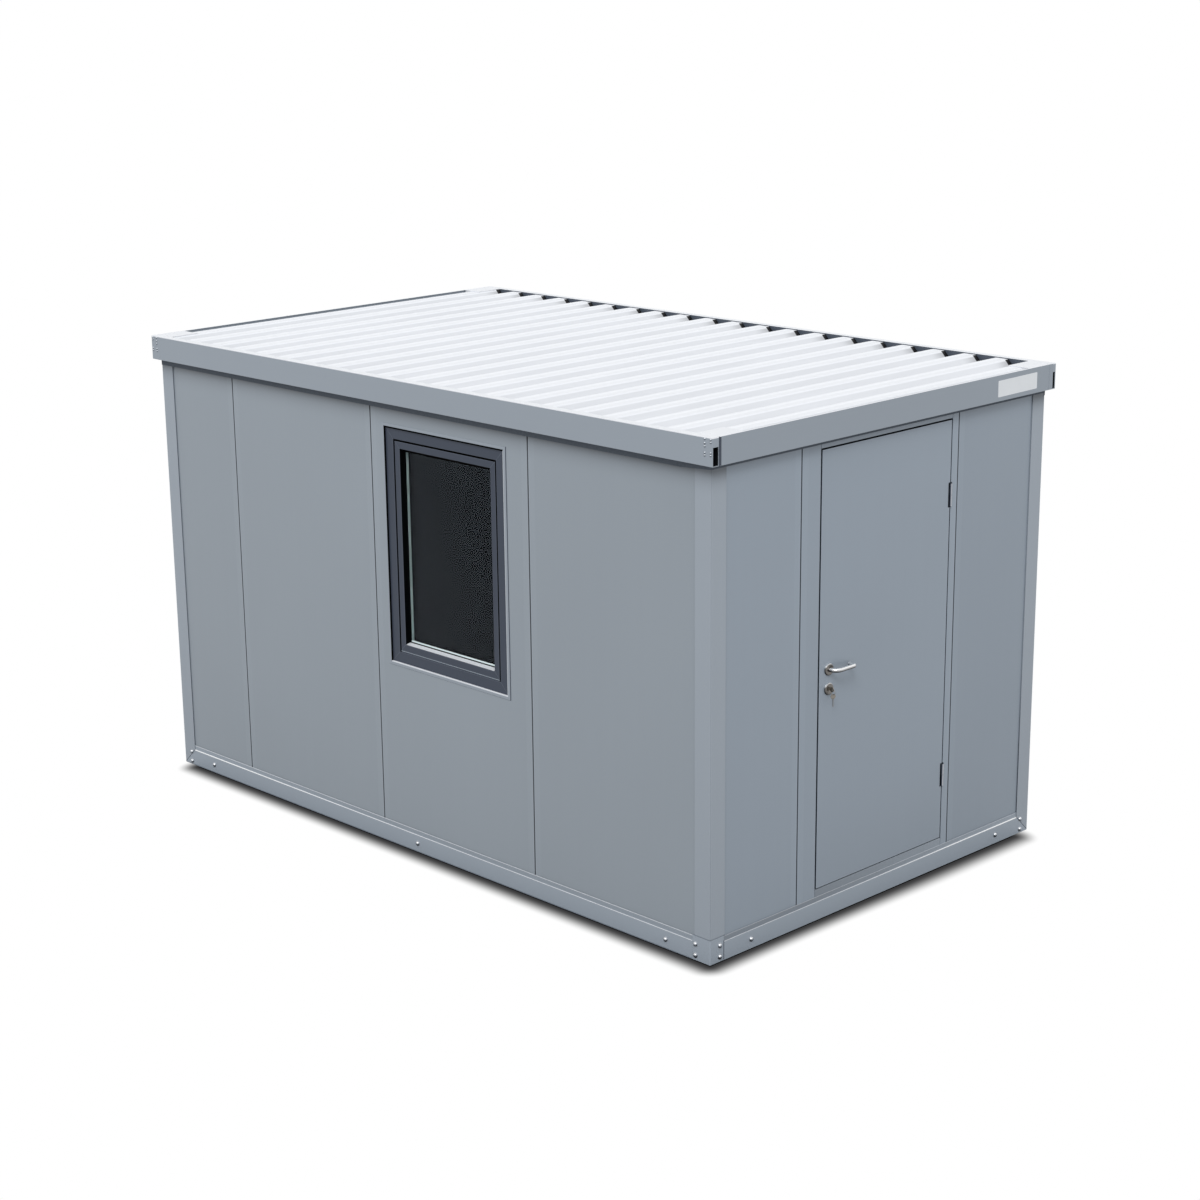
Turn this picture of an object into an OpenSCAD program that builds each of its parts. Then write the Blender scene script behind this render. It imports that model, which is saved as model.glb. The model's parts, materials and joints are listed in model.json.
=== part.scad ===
// Portable office unit: a steel-framed flat-pack cabin with insulated wall panels,
// one outward-opening door in its short end and one window in its long side.
//
// X runs along the length, the window side faces -Y, the door end faces +X, and Z is up.
// The origin is the middle of the base frame on the ground.
//
// Each of the four sides is drawn in a side frame: x runs to the right as seen from
// outside, y runs inwards from the outer face, and z is up.
// Side 0 is the window side, 1 the door end, 2 the back and 3 the rear end.

/* [Base frame] */
// Length of the base frame
base_len = 4000; // [3800:50:4500]
// Width of the base frame
base_wid = 2376; // [2350:10:2700]
// Height of the base rails
rail_h = 90; // [80:5:110]
// Width of the base rails' top flange
rail_top_w = 90; // [80:5:120]
// Width of the base rails' bottom flange
rail_foot_w = 60; // [40:5:75]
// Thickness of the folded steel of the frames and posts
steel_t = 3; // [2:0.5:4]
// Height of the upstand that holds the feet of the panels
sill_h = 24; // [15:1:40]
// Height of the corner brackets and of the posts' visible feet
foot_h = 117; // [116:1:125]
// Length of a corner bracket along the long side
bracket_long = 109; // [100:1:140]
// Reach of the posts' slanted feet along the rails
slant_foot_w = 95; // [80:1:110]
// Open seam between a slanted foot and the rail
slant_seam = 1.5; // [1:0.5:3]

/* [Floor] */
// Thickness of the floor deck
floor_t = 40; // [25:1:45]
// Number of floor joists
joist_count = 5; // [3:1:7]
// Width of a joist's flanges
joist_w = 40; // [30:5:60]

/* [Posts] */
// Width of the posts' outer flanges
post_flange_w = 95; // [85:1:110]
// Radius of the posts' rounded outer fold
post_fold_r = 5; // [3:1:8]

/* [Walls] */
// Height of the wall above the door opening, up to the roof frame
head_h = 41; // [30:1:120]
// Distance of the panels' outer faces behind the base rails' faces
panel_inset = 6; // [5:1:8]
// Thickness of the insulated panels
panel_t = 50; // [46:1:60]
// Width of one standard panel between joints
panel_w = 1120; // [1080:10:1150]
// Width of the window side's right-hand panel, from the corner
corner_panel_w = 1141; // [1100:1:1200]
// Width of the open groove at each panel joint
joint_groove_w = 5; // [3:0.5:8]
// Depth of that groove
joint_groove_d = 9; // [5:1:12]

/* [Door] */
// Width of the wall to the left of the door panel, from the corner
door_wall_w = 589; // [540:1:620]
// Width of the jamb on the lock side
lock_jamb_w = 131; // [110:1:150]
// Width of the door leaf
leaf_w = 926; // [860:1:935]
// Height of the door leaf
leaf_h = 2073; // [1980:1:2080]
// Thickness of the door leaf
leaf_t = 40; // [36:1:42]
// Height of the door leaf's lower edge above the ground
leaf_z = 155; // [145:1:160]
// Gap round the leaf at its lock side and top
leaf_gap = 8; // [6:0.5:10]
// Gap at the leaf's hinge side and foot
hinge_gap = 5.5; // [5:0.5:8]
// Overlap of the door stops behind the leaf
stop_lap = 20; // [15:1:30]
// Thickness of the door stops
stop_t = 15; // [10:1:20]
// Clearance between the leaf and the stops
stop_gap = 5.5; // [5:0.5:8]

/* [Hinges] */
// Length of a hinge
hinge_h = 110; // [90:2:130]
// Radius of the hinge knuckles
knuckle_r = 6; // [5:0.5:8]
// Radius of the hinge pins
hinge_pin_r = 3.5; // [2.5:0.5:4]
// Distance of the hinge axis outside the leaf's face
hinge_out = 2; // [1:0.5:4]
// Distance of the hinge axis beyond the leaf's edge
hinge_aside = 4.125; // [3:0.125:6]
// Open gap between the two halves of a hinge
knuckle_gap = 2; // [1:0.5:3]
// Width of the wing that joins the upper half of a hinge to the leaf
hinge_wing_w = 4; // [3:0.5:5]
// Height of the middle of the upper hinge above the leaf's foot
hinge_high = 1715; // [1600:5:1800]
// Height of the middle of the lower hinge above the leaf's foot
hinge_low = 323; // [250:1:400]

/* [Lock and lever] */
// Height of the lever's spindle above the leaf's foot
lever_high = 1050; // [950:5:1100]
// Distance of the spindle from the leaf's lock edge
lever_back = 63; // [55:1:80]
// Length of the lever from its spindle
lever_len = 132; // [110:1:145]
// Distance of the lever bar's middle from the leaf's face
lever_out = 48; // [42:1:60]
// Radius of the lever bar
lever_r = 9.5; // [8:0.5:11]
// Radius of the lever's bends
lever_bend = 18; // [14:1:22]
// Distance of the end of the lever's return from the leaf's face
lever_end_gap = 14.5; // [10:0.5:20]
// Radius of the round roses
rose_r = 27; // [25:0.5:30]
// Thickness of the roses
rose_t = 9; // [6:0.5:10]
// Distance from the spindle down to the lock cylinder
lock_drop = 92; // [72:1:94]

/* [Window] */
// Distance of the window frame from the left joint of its panel
window_x = 102; // [60:1:160]
// Width of the window frame
window_w = 855; // [700:5:880]
// Height of the window frame
window_h = 1189; // [900:1:1200]
// Distance of the window frame's upper edge below the roof frame
window_drop = 118; // [80:1:200]
// Face width of the window frame
window_face = 58; // [45:1:70]
// Depth of the window frame
window_d = 62; // [60:1:80]
// Distance of the window frame behind the panel's face
window_set = 5; // [3:1:8]
// Distance of the sash behind the window frame's face
sash_set = 2; // [0:0.5:5]
// Face width of the sash
sash_face = 50; // [40:1:60]
// Gap between window frame and sash
sash_gap = 0.8; // [0.5:0.1:0.9]
// Depth of the glass behind the sash's face
glass_set = 30; // [20:1:34]
// Thickness of the double glazing
glass_t = 20; // [16:1:24]
// Depth of the sash behind the glass
glass_stop = 6; // [4:1:10]
// Width of the light trim round the window opening
trim_w = 12; // [8:1:20]
// Thickness of that trim
trim_t = 2; // [1:0.5:3]

/* [Roof] */
// Overhang of the roof frame beyond the base frame at the ends
eave_end = 36; // [30:1:60]
// Overhang of the roof frame beyond the base frame at the sides
eave_side = 31; // [25:1:32]
// Height of the roof frame's fascia
fascia_h = 126; // [115:1:160]
// Depth of the long roof rails' box
roof_box_w = 40; // [30:1:48]
// Open joint between a long roof rail and the end fascia
roof_joint = 5; // [3:1:8]
// Height of the tab in each open end of the long roof rails
roof_tab_h = 40; // [30:1:50]
// Height of the bearers that carry the roof sheet
bearer_h = 85; // [70:1:88]
// Inward reach of the roof frame's ledge beyond the panels' inner faces
ledge_w = 23; // [15:1:40]
// Width of the end fascias' top lip
fascia_lip = 8; // [6:1:12]
// Length of the roof corner plates along the roof rails
corner_plate_x = 130; // [100:5:160]
// Length of the roof corner plates along the end fascias
corner_plate_y = 205; // [150:5:230]
// Thickness of the ceiling
ceiling_t = 40; // [25:1:50]
// Gap between the ceiling and the bearers round it
ceiling_gap = 1; // [0.5:0.5:3]

/* [Roof sheet] */
// Distance from one rib of the roof sheet to the next
rib_pitch = 194.3; // [180:0.1:220]
// Width of a rib's flat top
rib_top_w = 78; // [60:1:90]
// Width of a rib's slanted flank
rib_flank_w = 31; // [20:1:36]
// Height of the ribs
rib_h = 34; // [25:1:36]
// Thickness of the roof sheet
sheet_t = 2; // [1:0.5:3]
// Width of the flat edge at each end of the sheet
sheet_edge = 9; // [6:1:12]
// Gap between the sheet's cut edges and the roof rails
sheet_gap = 2; // [1:0.5:4]

/* [Hidden] */
$fn = 48;
// Cuts run past the faces that they open by this much.
over = 1;

SIDES = ["front", "door_end", "back", "rear"];
LONG_PANELS = 4;
REAR_PANELS = 3;
PANEL_NODES = [
    for (i = [1:LONG_PANELS]) str("front_panel_", i),
    for (i = [1:LONG_PANELS]) str("back_panel_", i),
    for (i = [1:REAR_PANELS]) str("rear_panel_", i),
];

// Colours
wall_grey = [0.55, 0.58, 0.61];
frame_grey = [0.57, 0.60, 0.64];
window_grey = [0.30, 0.33, 0.38];
roof_grey = [0.89, 0.90, 0.92];
steel_bright = [0.75, 0.75, 0.76];
floor_brown = [0.52, 0.44, 0.34];
inner_white = [0.92, 0.92, 0.90];
glass_grey = [0.16, 0.18, 0.19];

// Places on the walls, measured inwards from the base rails' faces
wall_in = panel_inset + panel_t;
sill_top = rail_h + sill_h;
floor_top = rail_h + floor_t;
leaf_top = leaf_z + leaf_h;
open_top = leaf_top + leaf_gap;
wall_top = open_top + head_h;

// Side frames
function side_len(s) = s % 2 == 0 ? base_len : base_wid;
function side_off(s) = (s % 2 == 0 ? base_wid : base_len) / 2;
function eave(s) = s % 2 == 0 ? eave_side : eave_end;
// Distance from the middle of a side to the end of its roof rail
function roof_half(s) = side_len(s) / 2 + eave(s + 1);

module on_side(s) rotate(90 * s) translate([0, -side_off(s), 0]) children();
module on_roof(s) rotate(90 * s) translate([0, -side_off(s) - eave(s), wall_top]) children();
// Corner k is at the right-hand end of side k: x runs along side k towards its middle
// and y runs inwards along side k + 1.
module on_corner(k) on_side(k) translate([side_len(k) / 2, 0, 0]) mirror([1, 0, 0]) children();

// A bar along x with a section drawn in y and z
module along_x(length) translate([-length / 2, 0, 0]) rotate([90, 0, 90]) linear_extrude(length) children();
// A block from its lowest to its highest corner
module block(low, high) translate(low) cube(high - low);
// A flat plate that stands in the plane of a side, drawn in x and z
module upright(y0, y1) translate([0, y1, 0]) rotate([90, 0, 0]) linear_extrude(y1 - y0) children();

// ---------------------------------------------------------------- base frame

module rail_section()
    polygon([
        [0, 0], [rail_foot_w, 0], [rail_foot_w, steel_t], [steel_t, steel_t],
        [steel_t, rail_h - steel_t], [rail_top_w, rail_h - steel_t], [rail_top_w, rail_h],
        [panel_inset, rail_h], [panel_inset, sill_top], [steel_t, sill_top], [steel_t, rail_h], [0, rail_h]
    ]);

// The corners of one diagonal have brackets, and the posts' feet at the other two
// corners are slanted. Long sides have their bracket at the right, short ones at the left.
function bracket_side(s) = s % 2 == 0 ? 1 : -1;
function bracket_len(s) = s % 2 == 0 ? bracket_long : rail_top_w;

module base_rail(s) {
    half = side_len(s) / 2;
    turn = bracket_side(s);
    tip = half - steel_t - slant_seam;
    color(frame_grey) on_side(s) difference() {
        intersection() {
            along_x(2 * half) rail_section();
            linear_extrude(sill_top) polygon([
                [-half, 0], [half, 0], [half - rail_top_w, rail_top_w], [rail_top_w - half, rail_top_w]
            ]);
        }
        // square end at the bracket
        mirror([turn < 0 ? 1 : 0, 0, 0])
            block([half - bracket_len(s), -over, -over], [half + over, rail_top_w + over, sill_top + over]);
        // slanted end of the web at the post's foot, without its thin tip
        mirror([turn > 0 ? 1 : 0, 0, 0])
            upright(-over, steel_t)
                polygon([
                    [half + over, -over], [tip, -over], [tip, steel_t * rail_h / slant_foot_w],
                    [half - slant_foot_w - slant_seam, rail_h], [half - slant_foot_w - slant_seam, sill_top],
                    [half + over, sill_top]
                ]);
    }
}

// An angle of plate round the outer corner, with a plate under and over the rails' ends.
// Above the rails it carries on their upstand behind its face.
module corner_bracket(k) {
    size = [bracket_long, rail_top_w];
    color(frame_grey) on_corner(k) {
        linear_extrude(foot_h) corner_angle(size, steel_t);
        translate([0, 0, rail_h]) linear_extrude(sill_h) corner_angle(size, panel_inset);
        for (z = [0, rail_h - steel_t]) translate([0, 0, z]) linear_extrude(steel_t) corner_angle(size, rail_top_w);
    }
}

// An angle round the rounded outer corner, as wide along x and y as size says
module corner_angle(size, thickness)
    intersection() {
        folded_corner(max(size));
        square(size);
        difference() {
            square(size);
            translate([thickness, thickness]) square(size);
        }
    }

module corner_brackets() {
    corner_bracket(0);
    corner_bracket(2);
}

// ---------------------------------------------------------------- floor

module floor_joists() {
    reach = base_wid / 2 - steel_t;
    inner = base_wid / 2 - rail_top_w;
    step = base_len / (joist_count + 1);
    color(frame_grey)
        for (i = [1:joist_count]) translate([-base_len / 2 + i * step, 0, 0])
            difference() {
                block([-joist_w / 2, -reach, steel_t], [joist_w / 2, reach, rail_h]);
                block([steel_t - joist_w / 2, -reach - over, 2 * steel_t],
                      [joist_w / 2 + over, reach + over, rail_h - 2 * steel_t]);
                for (m = [0, 1]) mirror([0, m, 0])
                    block([-joist_w / 2 - over, inner, rail_h - steel_t],
                          [joist_w / 2 + over, reach + over, rail_h + over]);
            }
}

module floor_deck() {
    x = base_len / 2 - wall_in;
    y = base_wid / 2 - wall_in;
    color(floor_brown) block([-x, -y, rail_h], [x, y, floor_top]);
}

// ---------------------------------------------------------------- posts

// A square whose corner at the origin is rounded
module folded_corner(size)
    difference() {
        square(size);
        difference() {
            square(post_fold_r);
            translate([post_fold_r, post_fold_r]) circle(post_fold_r);
        }
    }

// Square tube with two flanges that lap over the panels and end in a return lip
module post_section()
    intersection() {
        folded_corner(post_flange_w);
        union() {
            difference() {
                square(wall_in);
                translate([steel_t, steel_t]) square(wall_in - 2 * steel_t);
            }
            for (m = [0, 1]) mirror([m, -m]) {
                square([post_flange_w, steel_t]);
                translate([post_flange_w - steel_t, 0]) square([steel_t, panel_inset]);
            }
        }
    }

// Foot plate of a slanted post, in x and z from the corner
module slant_plate()
    polygon([[0, 0], [slant_foot_w, rail_h], [slant_foot_w, foot_h], [0, foot_h]]);

module post(k) {
    slanted = k % 2 == 1;
    color(frame_grey) on_corner(k) {
        difference() {
            translate([0, 0, rail_h]) linear_extrude(wall_top - rail_h) post_section();
            // the foot stands behind the rails' upstands or the bracket
            translate([-over, -over, rail_h - over]) difference() {
                cube([2 * post_flange_w, 2 * post_flange_w, foot_h - rail_h + over]);
                translate([panel_inset + over, panel_inset + over, -over])
                    cube([wall_in - panel_inset, wall_in - panel_inset, foot_h]);
            }
        }
        if (slanted) intersection() {
            union() {
                upright(0, steel_t) slant_plate();
                mirror([1, -1, 0]) upright(0, steel_t) slant_plate();
            }
            linear_extrude(foot_h) folded_corner(post_flange_w);
        }
    }
}

// ---------------------------------------------------------------- wall panels

// An insulated panel from x0 to x1 with a groove at each upright joint
module wall_panel(x0, x1, z0 = rail_h, z1 = wall_top) {
    g = joint_groove_w / 2;
    groove_y = panel_inset + joint_groove_d;
    translate([0, 0, z0]) linear_extrude(z1 - z0) polygon([
        [x0 + g, panel_inset], [x1 - g, panel_inset], [x1 - g, groove_y], [x1, groove_y],
        [x1, wall_in], [x0, wall_in], [x0, groove_y], [x0 + g, groove_y]
    ]);
}

// Joints of a long side, from left to right
function long_joints() = [
    wall_in - base_len / 2,
    for (i = [2:-1:0]) base_len / 2 - corner_panel_w - i * panel_w,
    base_len / 2 - wall_in
];
// Joints of a short side, from left to right
function end_joints() = [
    wall_in - base_wid / 2, door_wall_w - base_wid / 2,
    door_wall_w + panel_w - base_wid / 2, base_wid / 2 - wall_in
];

WINDOW_PANEL = 2;
window_left = long_joints()[WINDOW_PANEL] + window_x;
window_z = wall_top - window_drop - window_h;

// A plate in the window's plane, grown outwards by a margin
module window_rect(margin)
    translate([window_left - margin, window_z - margin]) square([window_w + 2 * margin, window_h + 2 * margin]);
// A frame in the window's plane between two margins, from one depth to another
module window_ring(outer, inner, y0, y1)
    upright(y0, y1) difference() {
        window_rect(outer);
        window_rect(inner);
    }

module front_panel(i) {
    joints = long_joints();
    color(wall_grey) on_side(0) difference() {
        wall_panel(joints[i], joints[i + 1]);
        if (i == WINDOW_PANEL) upright(panel_inset - over, wall_in + over) window_rect(0);
    }
}

module back_panel(i) {
    joints = long_joints();
    color(wall_grey) on_side(2) wall_panel(joints[i], joints[i + 1]);
}

module rear_panel(i) {
    joints = end_joints();
    color(wall_grey) on_side(3) wall_panel(joints[i], joints[i + 1]);
}

module door_wall(i) {
    joints = end_joints();
    color(wall_grey) on_side(1) wall_panel(joints[i], joints[i + 1]);
}

// ---------------------------------------------------------------- door surround

door_left = end_joints()[1];
door_right = end_joints()[2];
leaf_left = door_left + lock_jamb_w + leaf_gap;
leaf_right = leaf_left + leaf_w;
open_left = leaf_left - leaf_gap;
open_right = leaf_right + hinge_gap;
threshold_top = leaf_z - hinge_gap;

leaf_in = panel_inset + leaf_t;
stop_y = leaf_in + stop_gap;
stop_in = stop_y + stop_t;
// The stops lap over the jambs' inner faces by this much.
stop_seat = 30;

hinge_x = leaf_right + hinge_aside;
hinge_y = panel_inset - hinge_out;
hinge_zs = [leaf_z + hinge_low, leaf_z + hinge_high];
// Clearance round the knuckles in their pockets
pocket_gap = 5;
pocket_y = hinge_y + knuckle_r + 2 * pocket_gap;
pocket_h = hinge_h + 2 * pocket_gap;

// Pockets for the hinges, cut across the gap between leaf and jamb
module hinge_pockets(x0, x1)
    for (z = hinge_zs)
        block([x0, panel_inset - over, z - pocket_h / 2], [x1, pocket_y, z + pocket_h / 2]);

module door_jamb_lock()
    color(wall_grey) on_side(1) {
        wall_panel(door_left, open_left);
        block([open_left - stop_seat, stop_y, floor_top], [open_left + stop_lap, stop_in, wall_top]);
    }

module door_jamb_hinge()
    color(wall_grey) on_side(1) difference() {
        union() {
            wall_panel(open_right, door_right);
            block([open_right - stop_lap, stop_y, floor_top], [open_right + stop_seat, stop_in, wall_top]);
        }
        hinge_pockets(open_right - stop_lap, hinge_x + knuckle_r + pocket_gap);
    }

module door_head()
    color(wall_grey) on_side(1) {
        block([open_left, panel_inset, open_top], [open_right, stop_y, wall_top]);
        block([open_left + stop_lap, stop_y, open_top - stop_lap], [open_right - stop_lap, stop_in, wall_top]);
    }

module door_threshold()
    color(frame_grey) on_side(1) {
        block([open_left, panel_inset, rail_h], [open_right, wall_in, floor_top]);
        block([open_left, panel_inset, floor_top], [open_right, stop_y, threshold_top]);
        block([open_left + stop_lap, stop_y, floor_top],
              [open_right - stop_lap, stop_in, threshold_top + stop_lap]);
    }

// ---------------------------------------------------------------- door leaf and hinges

lever_x = leaf_left + lever_back;
lever_z = leaf_z + lever_high;
lock_z = lever_z - lock_drop;
// Running clearances of the spindle and the lever, and of the hinge pins
spindle_r = 5;
spindle_gap = 0.5;
pin_gap = 0.06;
pin_end_gap = 1;
lock_r = 8.5;
lock_gap = 0.1;

// A round bar along y
module bar_y(x, z, r, y0, y1) translate([x, y1, z]) rotate([90, 0, 0]) cylinder(r = r, h = y1 - y0);

module door_leaf()
    color(wall_grey) on_side(1) difference() {
        block([leaf_left, panel_inset, leaf_z], [leaf_right, leaf_in, leaf_top]);
        hinge_pockets(hinge_x - knuckle_r - 2 * pocket_gap, leaf_right + over);
        bar_y(lever_x, lever_z, spindle_r + spindle_gap, 0, leaf_in + over);
        bar_y(lever_x, lock_z, lock_r + lock_gap, 0, leaf_in + over);
    }

// Lower half of each hinge with the pin, held in the jamb's pocket
module door_hinge_pins()
    color(steel_bright) on_side(1) for (z = hinge_zs) {
        translate([hinge_x, hinge_y, z - hinge_h / 2]) {
            cylinder(r = knuckle_r, h = (hinge_h - knuckle_gap) / 2);
            cylinder(r = hinge_pin_r, h = hinge_h - steel_t);
        }
        block([hinge_x, hinge_y, z - hinge_h / 2], [hinge_x + knuckle_r, pocket_y, z - knuckle_gap / 2]);
    }

// Upper half of each hinge, which turns on the pin with the leaf
module door_hinge_knuckles()
    color(steel_bright) on_side(1) for (z = hinge_zs)
        difference() {
            union() {
                translate([hinge_x, hinge_y, z + knuckle_gap / 2])
                    cylinder(r = knuckle_r, h = (hinge_h - knuckle_gap) / 2);
                block([hinge_x - steel_t - hinge_wing_w, hinge_y, z + knuckle_gap / 2],
                      [hinge_x - steel_t, pocket_y, z + hinge_h / 2]);
            }
            translate([hinge_x, hinge_y, z - over])
                cylinder(r = hinge_pin_r + pin_gap, h = hinge_h / 2 - steel_t + pin_end_gap + over);
        }

// ---------------------------------------------------------------- lock and lever

// Roses on both faces of the leaf, open for the lever's neck
module door_roses()
    color(steel_bright) on_side(1) {
        for (z = [lever_z, lock_z]) {
            hole_r = z == lever_z ? lever_r + spindle_gap : lock_r + lock_gap;
            difference() {
                union() {
                    bar_y(lever_x, z, rose_r, panel_inset - rose_t, panel_inset);
                    bar_y(lever_x, z, rose_r, leaf_in, leaf_in + rose_t);
                }
                bar_y(lever_x, z, hole_r, panel_inset - 2 * rose_t, leaf_in + 2 * rose_t);
            }
        }
    }

lock_proud = 2;
key_t = 2.4;
key_bow_r = 12;
key_blade_w = 8;
key_blade_l = 28;
key_hole_r = 2.5;
key_hole_up = 2 * key_bow_r - 2 * key_hole_r;
key_ring_r = 11;
key_wire_r = 1.2;
// The ring and the hanging key lie this far from their seats.
key_seat = 0.3;

// A key in the plane x = 0 with its shoulder at the origin, its blade along +y
module key_blank()
    rotate([0, -90, 0]) translate([0, 0, -key_t / 2]) linear_extrude(key_t) difference() {
        union() {
            translate([0, -key_bow_r]) circle(key_bow_r);
            translate([-key_blade_w / 2, -key_hole_r]) square([key_blade_w, key_blade_l + key_hole_r]);
        }
        translate([0, -key_hole_up]) circle(key_hole_r);
    }

// Lock cylinder through the leaf, with a key in it and a second key on the ring that hangs
// from the first one
module door_lock() {
    proud = rose_t + lock_proud;
    sag = key_hole_r - key_wire_r - key_seat;
    color(steel_bright) on_side(1) {
        bar_y(lever_x, lock_z, lock_r, panel_inset - proud, leaf_in + proud);
        translate([lever_x, panel_inset - proud, lock_z]) {
            key_blank();
            translate([0, -key_hole_up, -key_ring_r - sag]) rotate([90, 0, 0])
                rotate_extrude() translate([key_ring_r, 0]) circle(key_wire_r);
            translate([0, -key_hole_up, -2 * (key_ring_r + sag) - key_hole_up]) rotate([-90, 0, 0]) key_blank();
        }
    }
}

// One lever: neck, bar and return, from the leaf's face outwards along -y
module lever_half() {
    straight = lever_len - 2 * lever_bend;
    neck = lever_out - lever_bend;
    back = neck - lever_end_gap;
    rotate([90, 0, 0]) cylinder(r = lever_r, h = neck);
    translate([lever_bend, -neck, 0]) rotate([0, 0, 180]) lever_elbow();
    translate([lever_bend, -lever_out, 0]) rotate([0, 90, 0]) cylinder(r = lever_r, h = straight);
    translate([lever_bend + straight, -neck, 0]) rotate([0, 0, 270]) lever_elbow();
    translate([lever_len, -neck + back, 0]) rotate([90, 0, 0]) cylinder(r = lever_r, h = back);
}

// A quarter bend of the lever's bar about the z axis
module lever_elbow() rotate_extrude(angle = 90) translate([lever_bend, 0]) circle(lever_r);

module door_lever()
    color(steel_bright) on_side(1) {
        bar_y(lever_x, lever_z, spindle_r, panel_inset - rose_t, leaf_in + rose_t);
        translate([lever_x, panel_inset - spindle_gap, lever_z]) lever_half();
        translate([lever_x, leaf_in + spindle_gap, lever_z]) mirror([0, 1, 0]) lever_half();
    }

// ---------------------------------------------------------------- window

frame_y = panel_inset + window_set;
sash_y = frame_y + sash_set;
glass_y = sash_y + glass_set;
sash_in = glass_y + glass_t + glass_stop;
sash_margin = -window_face - sash_gap;
glass_margin = sash_margin - sash_face;

module window_frame() color(window_grey) on_side(0) window_ring(0, -window_face, frame_y, frame_y + window_d);

module window_sash() color(window_grey) on_side(0) window_ring(sash_margin, glass_margin, sash_y, sash_in);

module window_glass()
    color(glass_grey) on_side(0) upright(glass_y, glass_y + glass_t) window_rect(glass_margin);

module window_trim() color(frame_grey) on_side(0) window_ring(trim_w, 0, panel_inset - trim_t, panel_inset);

// ---------------------------------------------------------------- roof frame

function ledge(s) = eave(s) + wall_in + ledge_w;
function bearer(s) = eave(s) + wall_in + steel_t;

// Box, ledge and bearer of a long roof rail. The box is open at its ends, each with a tab.
module roof_rail_long(s) {
    half = roof_half(s);
    inner_half = half - ledge(s + 1);
    in_t = roof_box_w - steel_t;
    color(frame_grey) on_roof(s) {
        along_x(2 * half) difference() {
            square([roof_box_w, fascia_h]);
            translate([steel_t, steel_t]) square([roof_box_w - 2 * steel_t, fascia_h - 2 * steel_t]);
        }
        for (m = [0, 1]) mirror([m, 0, 0])
            block([half - steel_t, steel_t, fascia_h - steel_t - roof_tab_h], [half, in_t, fascia_h - steel_t]);
        along_x(2 * inner_half) {
            translate([roof_box_w - steel_t, 0]) square([ledge(s) - roof_box_w + steel_t, steel_t]);
            translate([bearer(s) - steel_t, 0]) square([steel_t, bearer_h]);
        }
    }
}

// Fascia, ledge and bearer of a short roof rail between the two long ones
module roof_rail_short(s) {
    half = roof_half(s) - roof_box_w - roof_joint;
    bearer_half = roof_half(s) - bearer(s + 1);
    color(frame_grey) on_roof(s) {
        along_x(2 * half) {
            square([steel_t, fascia_h]);
            square([ledge(s), steel_t]);
            translate([0, fascia_h - steel_t]) square([fascia_lip, steel_t]);
        }
        along_x(2 * bearer_half) translate([bearer(s) - steel_t, 0]) square([steel_t, bearer_h]);
    }
}

module roof_rail(s) if (s % 2 == 0) roof_rail_long(s); else roof_rail_short(s);

// Flat plates over the joints of the roof frame at the four corners
module roof_corner_plates()
    color(roof_grey) for (s = [0, 2]) on_roof(s) for (m = [0, 1]) mirror([m, 0, 0])
        block([roof_half(s) - corner_plate_x, roof_box_w, fascia_h - steel_t],
              [roof_half(s) - fascia_lip, corner_plate_y, fascia_h]);

module ceiling() {
    x = roof_half(0) - bearer(1) - ceiling_gap;
    y = roof_half(1) - bearer(0) - ceiling_gap;
    color(inner_white) block([-x, -y, wall_top + steel_t], [x, y, wall_top + steel_t + ceiling_t]);
}

// ---------------------------------------------------------------- roof sheet

rib_half = rib_top_w / 2;
rib_count = floor((2 * roof_half(0) - 2 * (rib_half + rib_flank_w + sheet_edge + steel_t)) / rib_pitch) + 1;

// Upper outline of the sheet, with z counted from the flat between two ribs
function sheet_outline() =
    let (first = -(rib_count - 1) * rib_pitch / 2, foot = rib_half + rib_flank_w)
    concat(
        [[first - foot - sheet_edge, 0]],
        [for (i = [0:rib_count - 1], p = [[-foot, 0], [-rib_half, rib_h], [rib_half, rib_h], [foot, 0]])
            [first + i * rib_pitch + p[0], p[1]]],
        [[-first + foot + sheet_edge, 0]]
    );

module roof_sheet() {
    top = sheet_outline();
    n = len(top);
    under = [for (i = [n - 1:-1:0]) [top[i][0], top[i][1] - sheet_t]];
    y = roof_half(1) - roof_box_w - sheet_gap;
    color(roof_grey) translate([0, 0, wall_top + bearer_h + sheet_t]) upright(-y, y) polygon(concat(top, under));
}

// ---------------------------------------------------------------- the nodes

for (s = [0:3]) base_rail(s);
corner_brackets();
floor_joists();
floor_deck();
post(0);  // post_front_right
post(1);  // post_back_right
post(2);  // post_back_left
post(3);  // post_front_left
for (i = [1:LONG_PANELS]) front_panel(i - 1);
for (i = [1:LONG_PANELS]) back_panel(i - 1);
for (i = [1:REAR_PANELS]) rear_panel(i - 1);
door_wall(0);  // door_wall_left
door_wall(2);  // door_wall_right
door_jamb_lock();
door_jamb_hinge();
door_head();
door_threshold();
door_hinge_pins();
door_leaf();
door_hinge_knuckles();
door_roses();
door_lock();
door_lever();
window_frame();
window_sash();
window_glass();
window_trim();
for (s = [0:3]) roof_rail(s);
roof_corner_plates();
ceiling();
roof_sheet();
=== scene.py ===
import json
from math import atan2, cos, pi, radians, sin

import bmesh
import bpy
from mathutils import Matrix, Vector


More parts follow.
